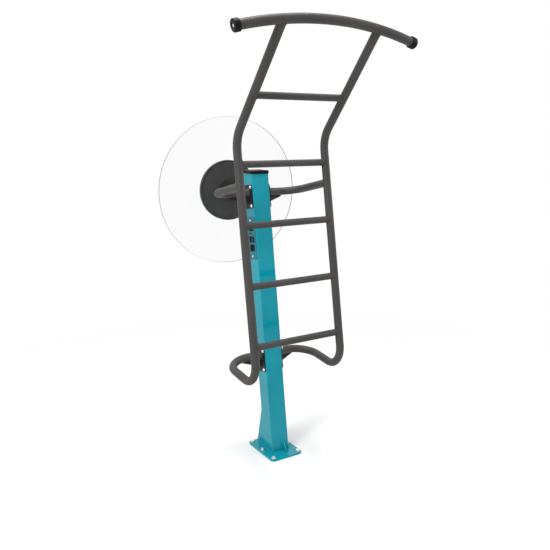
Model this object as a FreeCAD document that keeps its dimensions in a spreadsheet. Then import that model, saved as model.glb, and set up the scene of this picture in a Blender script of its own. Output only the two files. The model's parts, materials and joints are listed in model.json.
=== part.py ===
"""Outdoor fitness station, in millimetres.

A square post leans back from a bolted base plate. A bent tube ladder hangs in front of the post on
four bracket plates, and a clear wheel turns on a bearing arm behind it. +Z is up, +X runs along the
rungs, -Y is the ladder's side, and the origin is the middle of the base plate's underside.
"""
import FreeCAD
import Part
import Sketcher
import math
import os
from FreeCAD import Placement, Rotation, Vector

SIZES = {
    # base plate, anchors and gussets
    "base_width": 186.0,
    "base_depth": 280.0,
    "base_thickness": 10.0,
    "base_corner_radius": 22.0,
    "anchor_edge_x": 18.0,
    "anchor_edge_y": 22.0,
    "anchor_hole_diameter": 14.0,
    "anchor_thread_diameter": 12.0,
    "anchor_washer_diameter": 24.0,
    "anchor_washer_thickness": 2.5,
    "anchor_nut_width": 19.0,
    "anchor_nut_height": 7.5,
    "gusset_thickness": 8.0,
    "gusset_nose": 6.0,
    "rear_gusset_margin": 5.3,
    "rear_gusset_height": 270.0,
    "rear_gusset_spacing": 60.0,
    "front_gusset_foot": 30.0,
    "front_gusset_height": 56.0,
    "front_gusset_offset": 19.0,
    # post
    "post_width": 100.0,
    "post_wall": 4.0,
    "post_corner_radius": 5.0,
    "post_height": 1508.0,
    "post_lean": 7.4,
    "post_foot_forward": 17.0,
    "post_cap_overhang": 4.0,
    "post_cap_height": 17.0,
    "post_cap_rounding": 4.0,
    "post_cap_skirt": 30.0,
    "post_cap_wall": 3.0,
    # ladder
    "rail_spacing": 502.0,
    "rail_diameter": 42.0,
    "rail_wall": 3.0,
    "knee_forward": 101.7,
    "knee_above_post": 191.0,
    "knee_bend_radius": 140.0,
    "lower_lean": 8.5,
    "upper_lean": 42.3,
    "rung_diameter": 35.0,
    "rung_wall": 2.5,
    "rung_above_knee": 268.5,
    "rung_below_knee": 126.0,
    "rung_pitch": 298.0,
    "lower_rung_count": 4,
    "bar_above_knee": 676.5,
    "bar_diameter": 45.0,
    "bar_wall": 3.0,
    "bar_arc_radius": 1742.0,
    "bar_plane_lean": 14.4,
    "bar_length": 904.0,
    "bar_cap_diameter": 57.0,
    "bar_cap_length": 26.0,
    "bar_cap_rounding": 5.0,
    "bar_cap_plug": 28.0,
    "bar_cap_recess_diameter": 22.0,
    "bar_cap_recess_depth": 7.0,
    # arms, hooks and brackets
    "bracket_below_top": 125.0,
    "bracket_spread": 883.5,
    "bracket_width": 90.0,
    "bracket_length": 125.0,
    "bracket_thickness": 6.0,
    "bracket_corner_radius": 12.0,
    "bracket_bolt_across": 70.0,
    "bracket_bolt_along": 99.0,
    "bolt_diameter": 8.0,
    "bolt_hole_diameter": 9.0,
    "bolt_head_diameter": 15.0,
    "bolt_head_height": 5.0,
    "bolt_head_rounding": 2.5,
    "bolt_washer_diameter": 18.0,
    "bolt_washer_thickness": 1.6,
    "bolt_overrun": 1.5,
    "weld_nut_diameter": 14.0,
    "weld_nut_height": 7.0,
    "arm_above_bracket": 23.5,
    "arm_sweep": 62.0,
    "arm_slope": 11.7,
    "arm_bend_radius": 100.0,
    "arm_gusset_reach": 110.0,
    "arm_gusset_drop": 62.0,
    "hook_below_knee": 1227.0,
    "hook_low_bend_radius": 104.0,
    "hook_high_bend_radius": 116.0,
    # instruction plate
    "sign_width": 84.0,
    "sign_length": 228.0,
    "sign_thickness": 2.0,
    "sign_corner_radius": 5.0,
    "sign_below_bracket": 46.0,
    "sign_screw_along": 194.0,
    "sign_screw_diameter": 6.0,
    "sign_hole_diameter": 6.6,
    "sign_head_diameter": 12.0,
    "sign_head_height": 3.5,
    # wheel arm
    "wheel_below_top": 117.0,
    "wheel_reach": 500.0,
    "wheel_plate_width": 84.0,
    "wheel_plate_length": 150.0,
    "wheel_bolt_across": 46.0,
    "wheel_bolt_along": 122.0,
    "wheel_tube_diameter": 60.0,
    "wheel_tube_wall": 4.0,
    "wheel_gusset_reach": 96.0,
    "wheel_gusset_drop": 85.0,
    # bearings, housing and axle
    "bearing_bore": 25.0,
    "bearing_outer": 52.0,
    "bearing_width": 15.0,
    "bearing_ring_wall": 4.0,
    "bearing_ball_diameter": 7.9,
    "bearing_ball_count": 9,
    "bearing_spread": 14.0,
    "housing_diameter": 72.0,
    "housing_land_diameter": 46.0,
    "clip_thickness": 1.7,
    "clip_depth": 1.5,
    "clip_width": 4.0,
    "clip_opening": 8.0,
    "seal_thickness": 4.5,
    "axle_collar_diameter": 34.0,
    "axle_flange_diameter": 120.0,
    "axle_flange_thickness": 12.0,
    "axle_spigot_diameter": 40.0,
    "axle_washer_thickness": 3.0,
    "axle_nut_width": 36.0,
    "axle_nut_height": 14.0,
    "axle_tail": 4.0,
    "axle_end_gap": 6.0,
    "flange_gap": 5.0,
    # wheel
    "disc_diameter": 842.0,
    "disc_thickness": 10.0,
    "hub_diameter": 346.0,
    "hub_thickness": 24.0,
    "hub_rounding": 2.0,
    "hub_bolt_circle": 84.0,
    "hub_bolt_count": 6,
    "hub_bolt_diameter": 8.0,
    "hub_hole_diameter": 9.0,
    "hub_head_diameter": 14.0,
    "hub_head_height": 5.0,
    "hub_cap_diameter": 128.0,
    "hub_cap_height": 20.0,
    "hub_cap_wall": 4.0,
    "hub_cap_rounding": 6.0,
    "hub_cap_post_diameter": 24.0,
    "cap_screw_diameter": 6.0,
    "cap_screw_grip": 18.0,
    "cap_screw_head_diameter": 12.0,
    "cap_screw_head_height": 4.0,
    "screw_rounding": 1.2,
    # fits
    "push_clearance": 0.3,
    "thread_clearance": 0.05,
    "seat_clearance": 0.02,
    "running_clearance": 0.3,
    "ball_clearance": 0.1,
}

X = Vector(1, 0, 0)
Y = Vector(0, 1, 0)
Z = Vector(0, 0, 1)
SIDES = {"left": -1, "right": 1}
LEVEL_TOLERANCE = 1e-6

doc = FreeCAD.newDocument("FitnessStation")
sheet = doc.addObject("Spreadsheet::Sheet", "Sizes")
for row, (alias, number) in enumerate(SIZES.items(), start=1):
    sheet.set(f"A{row}", alias)
    sheet.set(f"B{row}", str(number))
    sheet.setAlias(f"B{row}", alias)
doc.recompute()
nodes = {}


def size(alias):
    """A driving dimension, read from the sheet."""
    return float(sheet.get(alias))


def value_of(formula):
    """What a formula on the sheet comes to."""
    return float(sheet.evalExpression(formula))


def keep(label, piece):
    """Name a finished piece and list it for writing."""
    piece.Label = label
    nodes[label] = piece
    return piece


# Building blocks: bars, rings, cuts and copies


def at(x, y, z, turn=Rotation()):
    """A place, turned about itself."""
    return Placement(Vector(x, y, z), turn)


def cylinder(name, radius, length, place=Placement()):
    """A round bar along its own Z axis."""
    bar = doc.addObject("Part::Cylinder", name)
    bar.setExpression("Radius", radius)
    bar.setExpression("Height", length)
    bar.Placement = place
    return bar


def cut(name, base, *tools):
    """The base with each tool taken away in turn."""
    for number, tool in enumerate(tools, start=1):
        result = doc.addObject("Part::Cut", f"{name}_cut_{number}")
        result.Base = base
        result.Tool = tool
        base = result
    return base


def fuse(name, *pieces):
    """Solids that touch or overlap, as one."""
    result = doc.addObject("Part::MultiFuse", name)
    result.Shapes = list(pieces)
    result.Refine = True
    return result


def ring(name, outer, inner, length, place=Placement()):
    """A round bar with a round bore through it."""
    blank = cylinder(f"{name}_blank", outer, length, place)
    return cut(name, blank, cylinder(f"{name}_bore", inner, length, place))


def hexagon(name, width, height):
    """A six-sided prism of the given width across its flats."""
    prism = doc.addObject("Part::Prism", name)
    prism.Polygon = 6
    prism.setExpression("Circumradius", f"{width} / sqrt(3)")
    prism.setExpression("Height", height)
    return prism


def upper_edges(shape):
    """Numbers of the edges that lie in a shape's highest level."""
    top = shape.BoundBox.ZMax - LEVEL_TOLERANCE
    return [number for number, edge in enumerate(shape.Edges, start=1) if edge.BoundBox.ZMin > top]


def upright_edges(shape):
    """Numbers of the edges that run along Z."""
    return [number for number, edge in enumerate(shape.Edges, start=1)
            if edge.BoundBox.XLength + edge.BoundBox.YLength < LEVEL_TOLERANCE]


def rounded_top(name, base, radius):
    """A turned solid along Z with the outer edge of its upper end rounded."""
    doc.recompute()
    flat = upper_edges(base.Shape)
    outer = max(flat, key=lambda number: base.Shape.Edges[number - 1].BoundBox.XLength)
    result = doc.addObject("Part::Fillet", name)
    result.Base = base
    result.Edges = [(outer, radius, radius)]
    return result


def repeat(name, master, places):
    """Separate equal solids, one at each place."""
    doc.recompute()
    solids = []
    for place in places:
        solid = master.Shape.copy()
        solid.Placement = place.multiply(solid.Placement)
        solids.append(solid)
    group = doc.addObject("Part::Feature", name)
    group.Shape = Part.makeCompound(solids)
    return group


def carried(name, piece, place):
    """One piece, carried from its own frame to its place."""
    return repeat(name, piece, [place])


def half_space(name, reach, place):
    """A large block that fills one side of its own XY plane, below zero."""
    block = doc.addObject("Part::Box", name)
    block.Length = reach
    block.Width = reach
    block.Height = reach
    block.Placement = place.multiply(at(-reach / 2, -reach / 2, -reach))
    return block


# Building blocks: sketched plates and gussets


def attached_sketch(body, name):
    """A sketch on a body's own XY plane."""
    sketch = body.newObject("Sketcher::SketchObject", name)
    plane = next(item for item in body.Origin.OriginFeatures if item.Role == "XY_Plane")
    sketch.AttachmentSupport = (plane, [""])
    sketch.MapMode = "FlatFace"
    return sketch


def bind_datum(sketch, constraint, formula):
    """Add a sketch dimension that follows the sheet."""
    index = sketch.addConstraint(constraint)
    sketch.setExpression(f"Constraints[{index}]", formula)


def close_outline(sketch, points):
    """A closed outline of straight lines through the points."""
    for start, end in zip(points, points[1:] + points[:1]):
        sketch.addGeometry(Part.LineSegment(start, end), False)
    for line in range(len(points)):
        sketch.addConstraint(Sketcher.Constraint("Coincident", line, 2, (line + 1) % len(points), 1))


def pad_outline(body, sketch, name, thickness):
    """The sketched outline, raised to a thickness."""
    pad = body.newObject("PartDesign::Pad", f"{name}_pad")
    pad.Profile = sketch
    pad.setExpression("Length", thickness)
    doc.recompute()
    return pad


def plate(name, width, height, thickness, corner, holes, hole_diameter):
    """A plate centred on its own XY plane, with rounded corners and through holes."""
    body = doc.addObject("PartDesign::Body", name)
    sketch = attached_sketch(body, f"{name}_outline")
    half_x = size(width) / 2
    half_y = size(height) / 2
    close_outline(sketch, [Vector(-half_x, -half_y), Vector(half_x, -half_y), Vector(half_x, half_y),
                           Vector(-half_x, half_y)])
    for flat, upright in ((0, 1), (2, 3)):
        sketch.addConstraint(Sketcher.Constraint("Horizontal", flat))
        sketch.addConstraint(Sketcher.Constraint("Vertical", upright))
    sketch.addConstraint(Sketcher.Constraint("Symmetric", 0, 1, 2, 1, -1, 1))
    bind_datum(sketch, Sketcher.Constraint("DistanceX", 0, 1, 0, 2, size(width)), f"Sizes.{width}")
    bind_datum(sketch, Sketcher.Constraint("DistanceY", 1, 1, 1, 2, size(height)), f"Sizes.{height}")
    pad = pad_outline(body, sketch, name, f"Sizes.{thickness}")
    fillet = body.newObject("PartDesign::Fillet", f"{name}_corners")
    fillet.Base = (pad, [f"Edge{number}" for number in upright_edges(pad.Shape)])
    fillet.setExpression("Radius", f"Sizes.{corner}")
    doc.recompute()
    drill(body, name, holes, hole_diameter)
    return body


def drill(body, name, holes, diameter):
    """Through holes, each at a share of one length across and of another along."""
    sketch = attached_sketch(body, f"{name}_holes")
    for index, ((across, share_x), (along, share_y)) in enumerate(holes):
        centre = Vector(share_x * value_of(across), share_y * value_of(along))
        sketch.addGeometry(Part.Circle(centre, Z, size(diameter) / 2), False)
        bind_datum(sketch, Sketcher.Constraint("DistanceX", -1, 1, index, 3, centre.x),
                   f"({across}) * ({share_x})")
        bind_datum(sketch, Sketcher.Constraint("DistanceY", -1, 1, index, 3, centre.y),
                   f"({along}) * ({share_y})")
        bind_datum(sketch, Sketcher.Constraint("Diameter", index, size(diameter)), f"Sizes.{diameter}")
    pocket = body.newObject("PartDesign::Pocket", f"{name}_drilled")
    pocket.Profile = sketch
    pocket.Type = "ThroughAll"
    pocket.Reversed = True
    doc.recompute()


def corner_holes(across, along):
    """The four corners of a hole rectangle, for plate()."""
    return [((across, share_x), (along, share_y)) for share_x in (-0.5, 0.5) for share_y in (-0.5, 0.5)]


def hole_places(holes):
    """The same holes as (x, y) pairs."""
    return [(share_x * value_of(across), share_y * value_of(along))
            for (across, share_x), (along, share_y) in holes]


def gusset(name, foot, height, nose, lean="0"):
    """A stiffening plate with its foot on its own X axis, its upper corner shifted by a lean."""
    body = doc.addObject("PartDesign::Body", name)
    sketch = attached_sketch(body, f"{name}_outline")
    shift = f"({height}) * tan({lean})"
    tip, blunt, rise, skew = (value_of(formula) for formula in (foot, nose, height, shift))
    close_outline(sketch, [Vector(0, 0), Vector(tip, 0), Vector(tip, blunt), Vector(skew, rise)])
    sketch.addConstraint(Sketcher.Constraint("Coincident", 0, 1, -1, 1))
    sketch.addConstraint(Sketcher.Constraint("Horizontal", 0))
    sketch.addConstraint(Sketcher.Constraint("Vertical", 1))
    bind_datum(sketch, Sketcher.Constraint("DistanceX", 0, 1, 0, 2, tip), foot)
    bind_datum(sketch, Sketcher.Constraint("DistanceY", 1, 1, 1, 2, blunt), nose)
    bind_datum(sketch, Sketcher.Constraint("DistanceY", -1, 1, 2, 2, rise), height)
    bind_datum(sketch, Sketcher.Constraint("DistanceX", -1, 1, 2, 2, skew), shift)
    pad_outline(body, sketch, name, "Sizes.gusset_thickness")
    return body


# Building blocks: square bars and bent tubes


def square_bar(name, width, corner, length, place):
    """A rounded square bar along its own Z axis."""
    bar = doc.addObject("Part::Box", f"{name}_bar")
    bar.setExpression("Length", width)
    bar.setExpression("Width", width)
    bar.setExpression("Height", length)
    doc.recompute()
    upright = upright_edges(bar.Shape)
    half = bar.Length.Value / 2
    bar.Placement = place.multiply(at(-half, -half, 0))
    fillet = doc.addObject("Part::Fillet", name)
    fillet.Base = bar
    fillet.Edges = [(number, corner, corner) for number in upright]
    return fillet


def bent_path(name, points, radii):
    """Straight runs through the points, joined by tangent arcs of the given radii."""
    edges = []
    start = points[0]
    for before, corner, after, radius in zip(points, points[1:], points[2:], radii):
        back = (before - corner).normalize()
        ahead = (after - corner).normalize()
        half_angle = back.getAngle(ahead) / 2
        reach = radius / math.tan(half_angle)
        crest = corner + (back + ahead).normalize() * (radius / math.sin(half_angle) - radius)
        edges.append(Part.LineSegment(start, corner + back * reach).toShape())
        edges.append(Part.Arc(corner + back * reach, crest, corner + ahead * reach).toShape())
        start = corner + ahead * reach
    edges.append(Part.LineSegment(start, points[-1]).toShape())
    return spine(name, edges)


def spine(name, edges):
    """A path for a swept bar."""
    path = doc.addObject("Part::Feature", f"{name}_path")
    path.Shape = Part.Wire(edges)
    return path


def swept_bar(name, path, radius):
    """A round bar along a path."""
    first = path.Shape.Edges[0]
    section = doc.addObject("Part::Circle", f"{name}_section")
    section.setExpression("Radius", radius)
    heading = first.tangentAt(first.FirstParameter)
    section.Placement = Placement(path.Shape.Vertexes[0].Point, Rotation(Z, heading))
    sweep = doc.addObject("Part::Sweep", name)
    sweep.Sections = [section]
    sweep.Spine = (path, [f"Edge{number}" for number in range(1, len(path.Shape.Edges) + 1)])
    sweep.Solid = True
    sweep.Frenet = False
    return sweep


# Places on the leaning post and on the ladder

lean = math.radians(size("post_lean"))
post_frame = at(0, -size("post_foot_forward"), 0, Rotation(X, -size("post_lean")))
post_up = post_frame.Rotation.multVec(Z)
post_half = size("post_width") / 2
bracket_face = post_half + size("bracket_thickness")
knee_height = size("post_height") + size("knee_above_post")
wheel_height = size("post_height") - size("wheel_below_top")
upper_along = size("post_height") / math.cos(lean) - size("bracket_below_top")
bracket_along = {"upper": upper_along, "lower": upper_along - size("bracket_spread")}
far = 2 * knee_height


def on_post(across, back, along):
    """A point given across the post, behind its axis and along it from the ground."""
    return post_frame.multVec(Vector(across, back, along))


def side_face(side, along):
    """A frame on a side face of the post: Z outwards, Y along the post."""
    turn = Rotation(Y * side, Z, X * side, "ZYX")
    return post_frame.multiply(at(side * post_half, 0, along, turn))


def rear_face(along):
    """A frame on the post's rear face: Z outwards, Y along the post."""
    return post_frame.multiply(at(0, post_half, along, Rotation(X * -1, Z, Y, "ZYX")))


def spots(frame, pairs):
    """Places in a face's own axes, at (x, y) pairs."""
    return [frame.multiply(at(x, y, 0)) for x, y in pairs]


rail_x = size("rail_spacing") / 2
knee = Vector(0, -size("knee_forward"), knee_height)
lower_up = Rotation(X, -size("lower_lean")).multVec(Z)
upper_up = Rotation(X, size("upper_lean")).multVec(Z)
bar_joint = knee + upper_up * size("bar_above_knee")

# Base plate with its anchor washers and nuts

anchor_across = "Sizes.base_width / 2 - Sizes.anchor_edge_x"
anchor_along = "Sizes.base_depth / 2 - Sizes.anchor_edge_y"
anchor_holes = [((anchor_across, share_x), (anchor_along, share_y))
                for share_x in (-1, 1) for share_y in (-1, 0, 1)]
keep("base_plate", plate("base", "base_width", "base_depth", "base_thickness", "base_corner_radius",
                         anchor_holes, "anchor_hole_diameter"))
base_top = size("base_thickness")
anchor_pairs = hole_places(anchor_holes)
anchor_washer = ring("anchor_washer", "Sizes.anchor_washer_diameter / 2", "Sizes.anchor_hole_diameter / 2",
                     "Sizes.anchor_washer_thickness")
keep("anchor_washers", repeat("anchor_washer_set", anchor_washer, spots(at(0, 0, base_top), anchor_pairs)))
anchor_blank = hexagon("anchor_nut_blank", "Sizes.anchor_nut_width", "Sizes.anchor_nut_height")
anchor_bore = cylinder("anchor_nut_bore", "Sizes.anchor_thread_diameter / 2 + Sizes.thread_clearance",
                       "Sizes.anchor_nut_height")
anchor_nut = cut("anchor_nut", anchor_blank, anchor_bore)
nut_seat = at(0, 0, base_top + size("anchor_washer_thickness"))
keep("anchor_nuts", repeat("anchor_nut_set", anchor_nut, spots(nut_seat, anchor_pairs)))

# Post, cut level on the base plate and level again under its cap

sunk = post_frame.multiply(at(0, 0, -size("post_width")))
sunk_length = "Sizes.post_height + 3 * Sizes.post_width"
post_outer = square_bar("post_outer", "Sizes.post_width", size("post_corner_radius"), sunk_length, sunk)
inside_corner = size("post_corner_radius") / 2
bore_width = "Sizes.post_width - 2 * Sizes.post_wall"
post_bore = square_bar("post_bore", bore_width, inside_corner, sunk_length, sunk)
post_top = at(0, size("post_height") * math.tan(lean) - size("post_foot_forward"), size("post_height"))
above_post = half_space("above_post", far, post_top.multiply(at(0, 0, 0, Rotation(X, 180))))
under_base = half_space("under_base", far, at(0, 0, base_top))
post_shell = cut("post_shell", post_outer, post_bore, under_base, above_post)

# Post gussets: a pair behind that ends inside the base plate's edge, and a small one in front

foot_shift = base_top * math.tan(lean) - size("post_foot_forward")
face_shift = post_half / math.cos(lean)
rear_foot = f"Sizes.base_depth / 2 - Sizes.rear_gusset_margin - {face_shift + foot_shift}"
half_gusset = size("gusset_thickness") / 2
for label, side in SIDES.items():
    rear_gusset = gusset(f"rear_gusset_{label}_body", rear_foot, "Sizes.rear_gusset_height",
                         "Sizes.gusset_nose", "Sizes.post_lean")
    middle = side * size("rear_gusset_spacing") / 2
    turn = Rotation(Y, Z, X, "ZXY")
    rear_gusset.Placement = at(middle - half_gusset, foot_shift + face_shift, base_top, turn)
    keep(f"rear_gusset_{label}", rear_gusset)
front_gusset = gusset("front_gusset_body", "Sizes.front_gusset_foot", "Sizes.front_gusset_height",
                      "Sizes.gusset_nose", "-Sizes.post_lean")
turn = Rotation(Y * -1, Z, X * -1, "ZXY")
middle = size("front_gusset_offset")
front_gusset.Placement = at(middle + half_gusset, foot_shift - face_shift, base_top, turn)
keep("front_gusset", front_gusset)

# Level post cap, its skirt pushed into the leaning post

lid_width = "Sizes.post_width + 2 * Sizes.post_cap_overhang"
lid_corner = size("post_corner_radius") + size("post_cap_overhang")
cap_lid = square_bar("cap_lid", lid_width, lid_corner, "Sizes.post_cap_height", post_top)
doc.recompute()
lid_rounding = size("post_cap_rounding")
cap_dome = doc.addObject("Part::Fillet", "cap_dome")
cap_dome.Base = cap_lid
cap_dome.Edges = [(number, lid_rounding, lid_rounding) for number in upper_edges(cap_lid.Shape)]
skirt_place = post_frame.multiply(at(0, 0, size("post_height") / math.cos(lean) - size("post_cap_skirt")))
skirt_length = "Sizes.post_cap_skirt + Sizes.post_width"
skirt_width = f"{bore_width} - 2 * Sizes.push_clearance"
hollow_width = f"{skirt_width} - 2 * Sizes.post_cap_wall"
skirt_bar = square_bar("skirt_bar", skirt_width, inside_corner, skirt_length, skirt_place)
skirt_hollow = square_bar("skirt_hollow", hollow_width, inside_corner, skirt_length, skirt_place)
cap_skirt = cut("cap_skirt", skirt_bar, skirt_hollow, above_post)
keep("post_cap", fuse("post_cap_body", cap_dome, cap_skirt))

# Arched top bar with its end caps

bar_half = size("bar_length") / 2
bar_radius = size("bar_arc_radius")
bar_up = Rotation(X, size("bar_plane_lean")).multVec(Z)
bar_centre = bar_joint - bar_up * math.sqrt(bar_radius**2 - rail_x**2)
bar_tilt = math.asin(bar_half / bar_radius)
bar_ends = {label: bar_centre + bar_up * (bar_radius * math.cos(bar_tilt)) + X * (side * bar_half)
            for label, side in SIDES.items()}
bar_arc = Part.Arc(bar_ends["left"], bar_centre + bar_up * bar_radius, bar_ends["right"]).toShape()
bar_path = spine("bar", [bar_arc])
bar_outer = swept_bar("bar_outer", bar_path, "Sizes.bar_diameter / 2")
bar_bore = swept_bar("bar_bore", bar_path, "Sizes.bar_diameter / 2 - Sizes.bar_wall")
keep("top_bar", cut("top_bar", bar_outer, bar_bore))


def bar_end(side):
    """A frame on an end of the top bar: Z outwards along the bar."""
    outwards = X * (side * math.cos(bar_tilt)) - bar_up * math.sin(bar_tilt)
    return Placement(bar_ends["left" if side < 0 else "right"], Rotation(Z, outwards))


plug_place = at(0, 0, -size("bar_cap_plug"))
cap_blank = cylinder("cap_head_blank", "Sizes.bar_cap_diameter / 2", "Sizes.bar_cap_length")
cap_head = rounded_top("cap_head", cap_blank, size("bar_cap_rounding"))
cap_plug = cylinder("cap_plug", "Sizes.bar_diameter / 2 - Sizes.bar_wall - Sizes.push_clearance",
                    "Sizes.bar_cap_plug", plug_place)
recess_floor = size("bar_cap_length") - size("bar_cap_recess_depth")
cap_recess = cylinder("cap_recess", "Sizes.bar_cap_recess_diameter / 2", "Sizes.bar_cap_recess_depth",
                      at(0, 0, recess_floor))
screw_bore = "Sizes.cap_screw_diameter / 2 + Sizes.thread_clearance"
cap_bore = cylinder("cap_bore", screw_bore, "Sizes.bar_cap_length + Sizes.bar_cap_plug", plug_place)
bar_cap = cut("bar_cap", fuse("bar_cap_body", cap_head, cap_plug), cap_recess, cap_bore)
screw_blank = cylinder("bar_screw_head_blank", "Sizes.cap_screw_head_diameter / 2",
                       "Sizes.cap_screw_head_height", at(0, 0, recess_floor))
screw_head = rounded_top("bar_screw_head", screw_blank, size("screw_rounding"))
screw_length = "Sizes.bar_cap_length + Sizes.bar_cap_plug - Sizes.bar_cap_recess_depth"
screw_shank = cylinder("bar_screw_shank", "Sizes.cap_screw_diameter / 2", screw_length, plug_place)
bar_screw = fuse("bar_screw", screw_head, screw_shank)
for label, side in SIDES.items():
    keep(f"bar_cap_{label}", carried(f"bar_cap_{label}_seated", bar_cap, bar_end(side)))
keep("bar_cap_screws", repeat("bar_screw_set", bar_screw, [bar_end(side) for side in SIDES.values()]))

# Side tubes: rail, knee, bottom bend, hook and lower arm in one bent tube

tube_radius = "Sizes.rail_diameter / 2"
tube_bore = "Sizes.rail_diameter / 2 - Sizes.rail_wall"
sideways = rail_x - bracket_face
post_back = post_frame.Rotation.multVec(Y)
arm_forward = Rotation(X, -size("arm_slope")).multVec(Y * -1)
plates_core = doc.addObject("Part::Box", "plates_core")
plates_core.Length = 2 * bracket_face
plates_core.Width = far
plates_core.Height = far
plates_core.Placement = at(-bracket_face, -far / 2, 0)


def seat_point(side, level):
    """Where an arm's axis meets the outer face of its bracket plate."""
    return on_post(side * bracket_face, 0, bracket_along[level] + size("arm_above_bracket"))


def past_plate(seat, corner):
    """The end of an arm's path, a tube's width past the plate's face, before it is cut flush."""
    return seat + (seat - corner).normalize() * size("rail_diameter")


def arm_gusset(label, seat, corner, tube):
    """The stiffening plate under an arm, between the tube and its bracket plate."""
    along_arm = (corner - seat).normalize()
    sunk_seat = seat - along_arm * size("bracket_thickness")
    reach = "Sizes.arm_gusset_reach + Sizes.bracket_thickness"
    blunt_end = f"{tube_radius} + Sizes.gusset_nose"
    blank = gusset(f"{label}_body", reach, "Sizes.arm_gusset_drop", blunt_end)
    turn = Rotation(along_arm, post_up * -1, along_arm.cross(post_up * -1), "XYZ")
    blank.Placement = Placement(sunk_seat, turn).multiply(at(0, 0, -half_gusset))
    return keep(label, cut(f"{label}_fit", blank, tube, plates_core))


rails = {}
bends = [size("knee_bend_radius"), size("hook_low_bend_radius"), size("hook_high_bend_radius")]
for label, side in SIDES.items():
    out = X * (side * rail_x)
    seat = seat_point(side, "lower")
    hook_top = seat + X * (side * sideways) + post_back * size("arm_sweep")
    hook_foot = knee - lower_up * size("hook_below_knee") + out
    path = bent_path(f"side_{label}",
                     [bar_joint + out, knee + out, hook_foot, hook_top, past_plate(seat, hook_top)], bends)
    rails[label] = swept_bar(f"side_{label}_outer", path, tube_radius)
    bore = swept_bar(f"side_{label}_bore", path, tube_bore)
    keep(f"side_tube_{label}", cut(f"side_tube_{label}", rails[label], bore, bar_outer, plates_core))
    arm_gusset(f"lower_gusset_{label}", seat, hook_top, rails[label])

# Upper arms, coped to the rails

for label, side in SIDES.items():
    seat = seat_point(side, "upper")
    arm_corner = seat + X * (side * sideways) - arm_forward * size("arm_sweep")
    run = (knee - arm_corner).cross(lower_up).x / arm_forward.cross(lower_up).x
    rail_point = arm_corner + arm_forward * run
    path = bent_path(f"arm_{label}", [past_plate(seat, arm_corner), arm_corner, rail_point],
                     [size("arm_bend_radius")])
    arm_outer = swept_bar(f"arm_{label}_outer", path, tube_radius)
    arm_bore = swept_bar(f"arm_{label}_bore", path, tube_bore)
    keep(f"upper_arm_{label}", cut(f"upper_arm_{label}", arm_outer, arm_bore, rails[label], plates_core))
    arm_gusset(f"upper_gusset_{label}", seat, arm_corner, arm_outer)

# Rungs, coped between the rails

rung_radius = "Sizes.rung_diameter / 2"
rung_bore = "Sizes.rung_diameter / 2 - Sizes.rung_wall"
second_rung = knee - lower_up * size("rung_below_knee")
lower_rungs = round(size("lower_rung_count"))
rung_points = [knee + upper_up * size("rung_above_knee")]
rung_points += [second_rung - lower_up * (step * size("rung_pitch")) for step in range(lower_rungs)]
for number, point in enumerate(rung_points, start=1):
    place = Placement(point - X * rail_x, Rotation(Y, 90))
    rung_bar = ring(f"rung_{number}_tube", rung_radius, rung_bore, "Sizes.rail_spacing", place)
    keep(f"rung_{number}", cut(f"rung_{number}", rung_bar, rails["left"], rails["right"]))

# Bracket plates on the post's sides and the wheel plate on its rear face

bracket_holes = corner_holes("Sizes.bracket_bolt_across", "Sizes.bracket_bolt_along")
bolt_places = []
for level, along in bracket_along.items():
    for label, side in SIDES.items():
        face = side_face(side, along)
        bracket = plate(f"{level}_bracket_{label}_body", "bracket_width", "bracket_length",
                        "bracket_thickness", "bracket_corner_radius", bracket_holes, "bolt_hole_diameter")
        bracket.Placement = face
        keep(f"{level}_bracket_{label}", bracket)
        bolt_places += spots(face, hole_places(bracket_holes))

wheel_plate_face = post_half + size("bracket_thickness")
wheel_along = wheel_height / math.cos(lean) + wheel_plate_face * math.tan(lean)
wheel_face = rear_face(wheel_along)
wheel_holes = corner_holes("Sizes.wheel_bolt_across", "Sizes.wheel_bolt_along")
wheel_plate = plate("wheel_plate_body", "wheel_plate_width", "wheel_plate_length", "bracket_thickness",
                    "bracket_corner_radius", wheel_holes, "bolt_hole_diameter")
wheel_plate.Placement = wheel_face
keep("wheel_plate", wheel_plate)
bolt_places += spots(wheel_face, hole_places(wheel_holes))

# Bolts, washers and weld nuts of all five plates, each in a frame on the post's face

head_seat = at(0, 0, size("bracket_thickness") + size("bolt_washer_thickness"))
nut_depth = size("post_wall") + size("weld_nut_height")
bolt_blank = cylinder("bolt_head_blank", "Sizes.bolt_head_diameter / 2", "Sizes.bolt_head_height",
                      head_seat)
bolt_head = rounded_top("bolt_head", bolt_blank, size("bolt_head_rounding"))
outside = "Sizes.bracket_thickness + Sizes.bolt_washer_thickness"
inside = "Sizes.post_wall + Sizes.weld_nut_height + Sizes.bolt_overrun"
shank = cylinder("bolt_shank", "Sizes.bolt_diameter / 2", f"{outside} + {inside}",
                 at(0, 0, -nut_depth - size("bolt_overrun")))
keep("plate_bolts", repeat("plate_bolt_set", fuse("plate_bolt", bolt_head, shank), bolt_places))
bolt_washer = ring("bolt_washer", "Sizes.bolt_washer_diameter / 2", "Sizes.bolt_hole_diameter / 2",
                   "Sizes.bolt_washer_thickness", at(0, 0, size("bracket_thickness")))
keep("plate_washers", repeat("plate_washer_set", bolt_washer, bolt_places))
weld_nut = ring("weld_nut", "Sizes.weld_nut_diameter / 2",
                "Sizes.bolt_diameter / 2 + Sizes.thread_clearance", "Sizes.weld_nut_height",
                at(0, 0, -nut_depth))
keep("weld_nuts", repeat("weld_nut_set", weld_nut, bolt_places))

# Instruction plate on the left face, with a screw near each end

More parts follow.
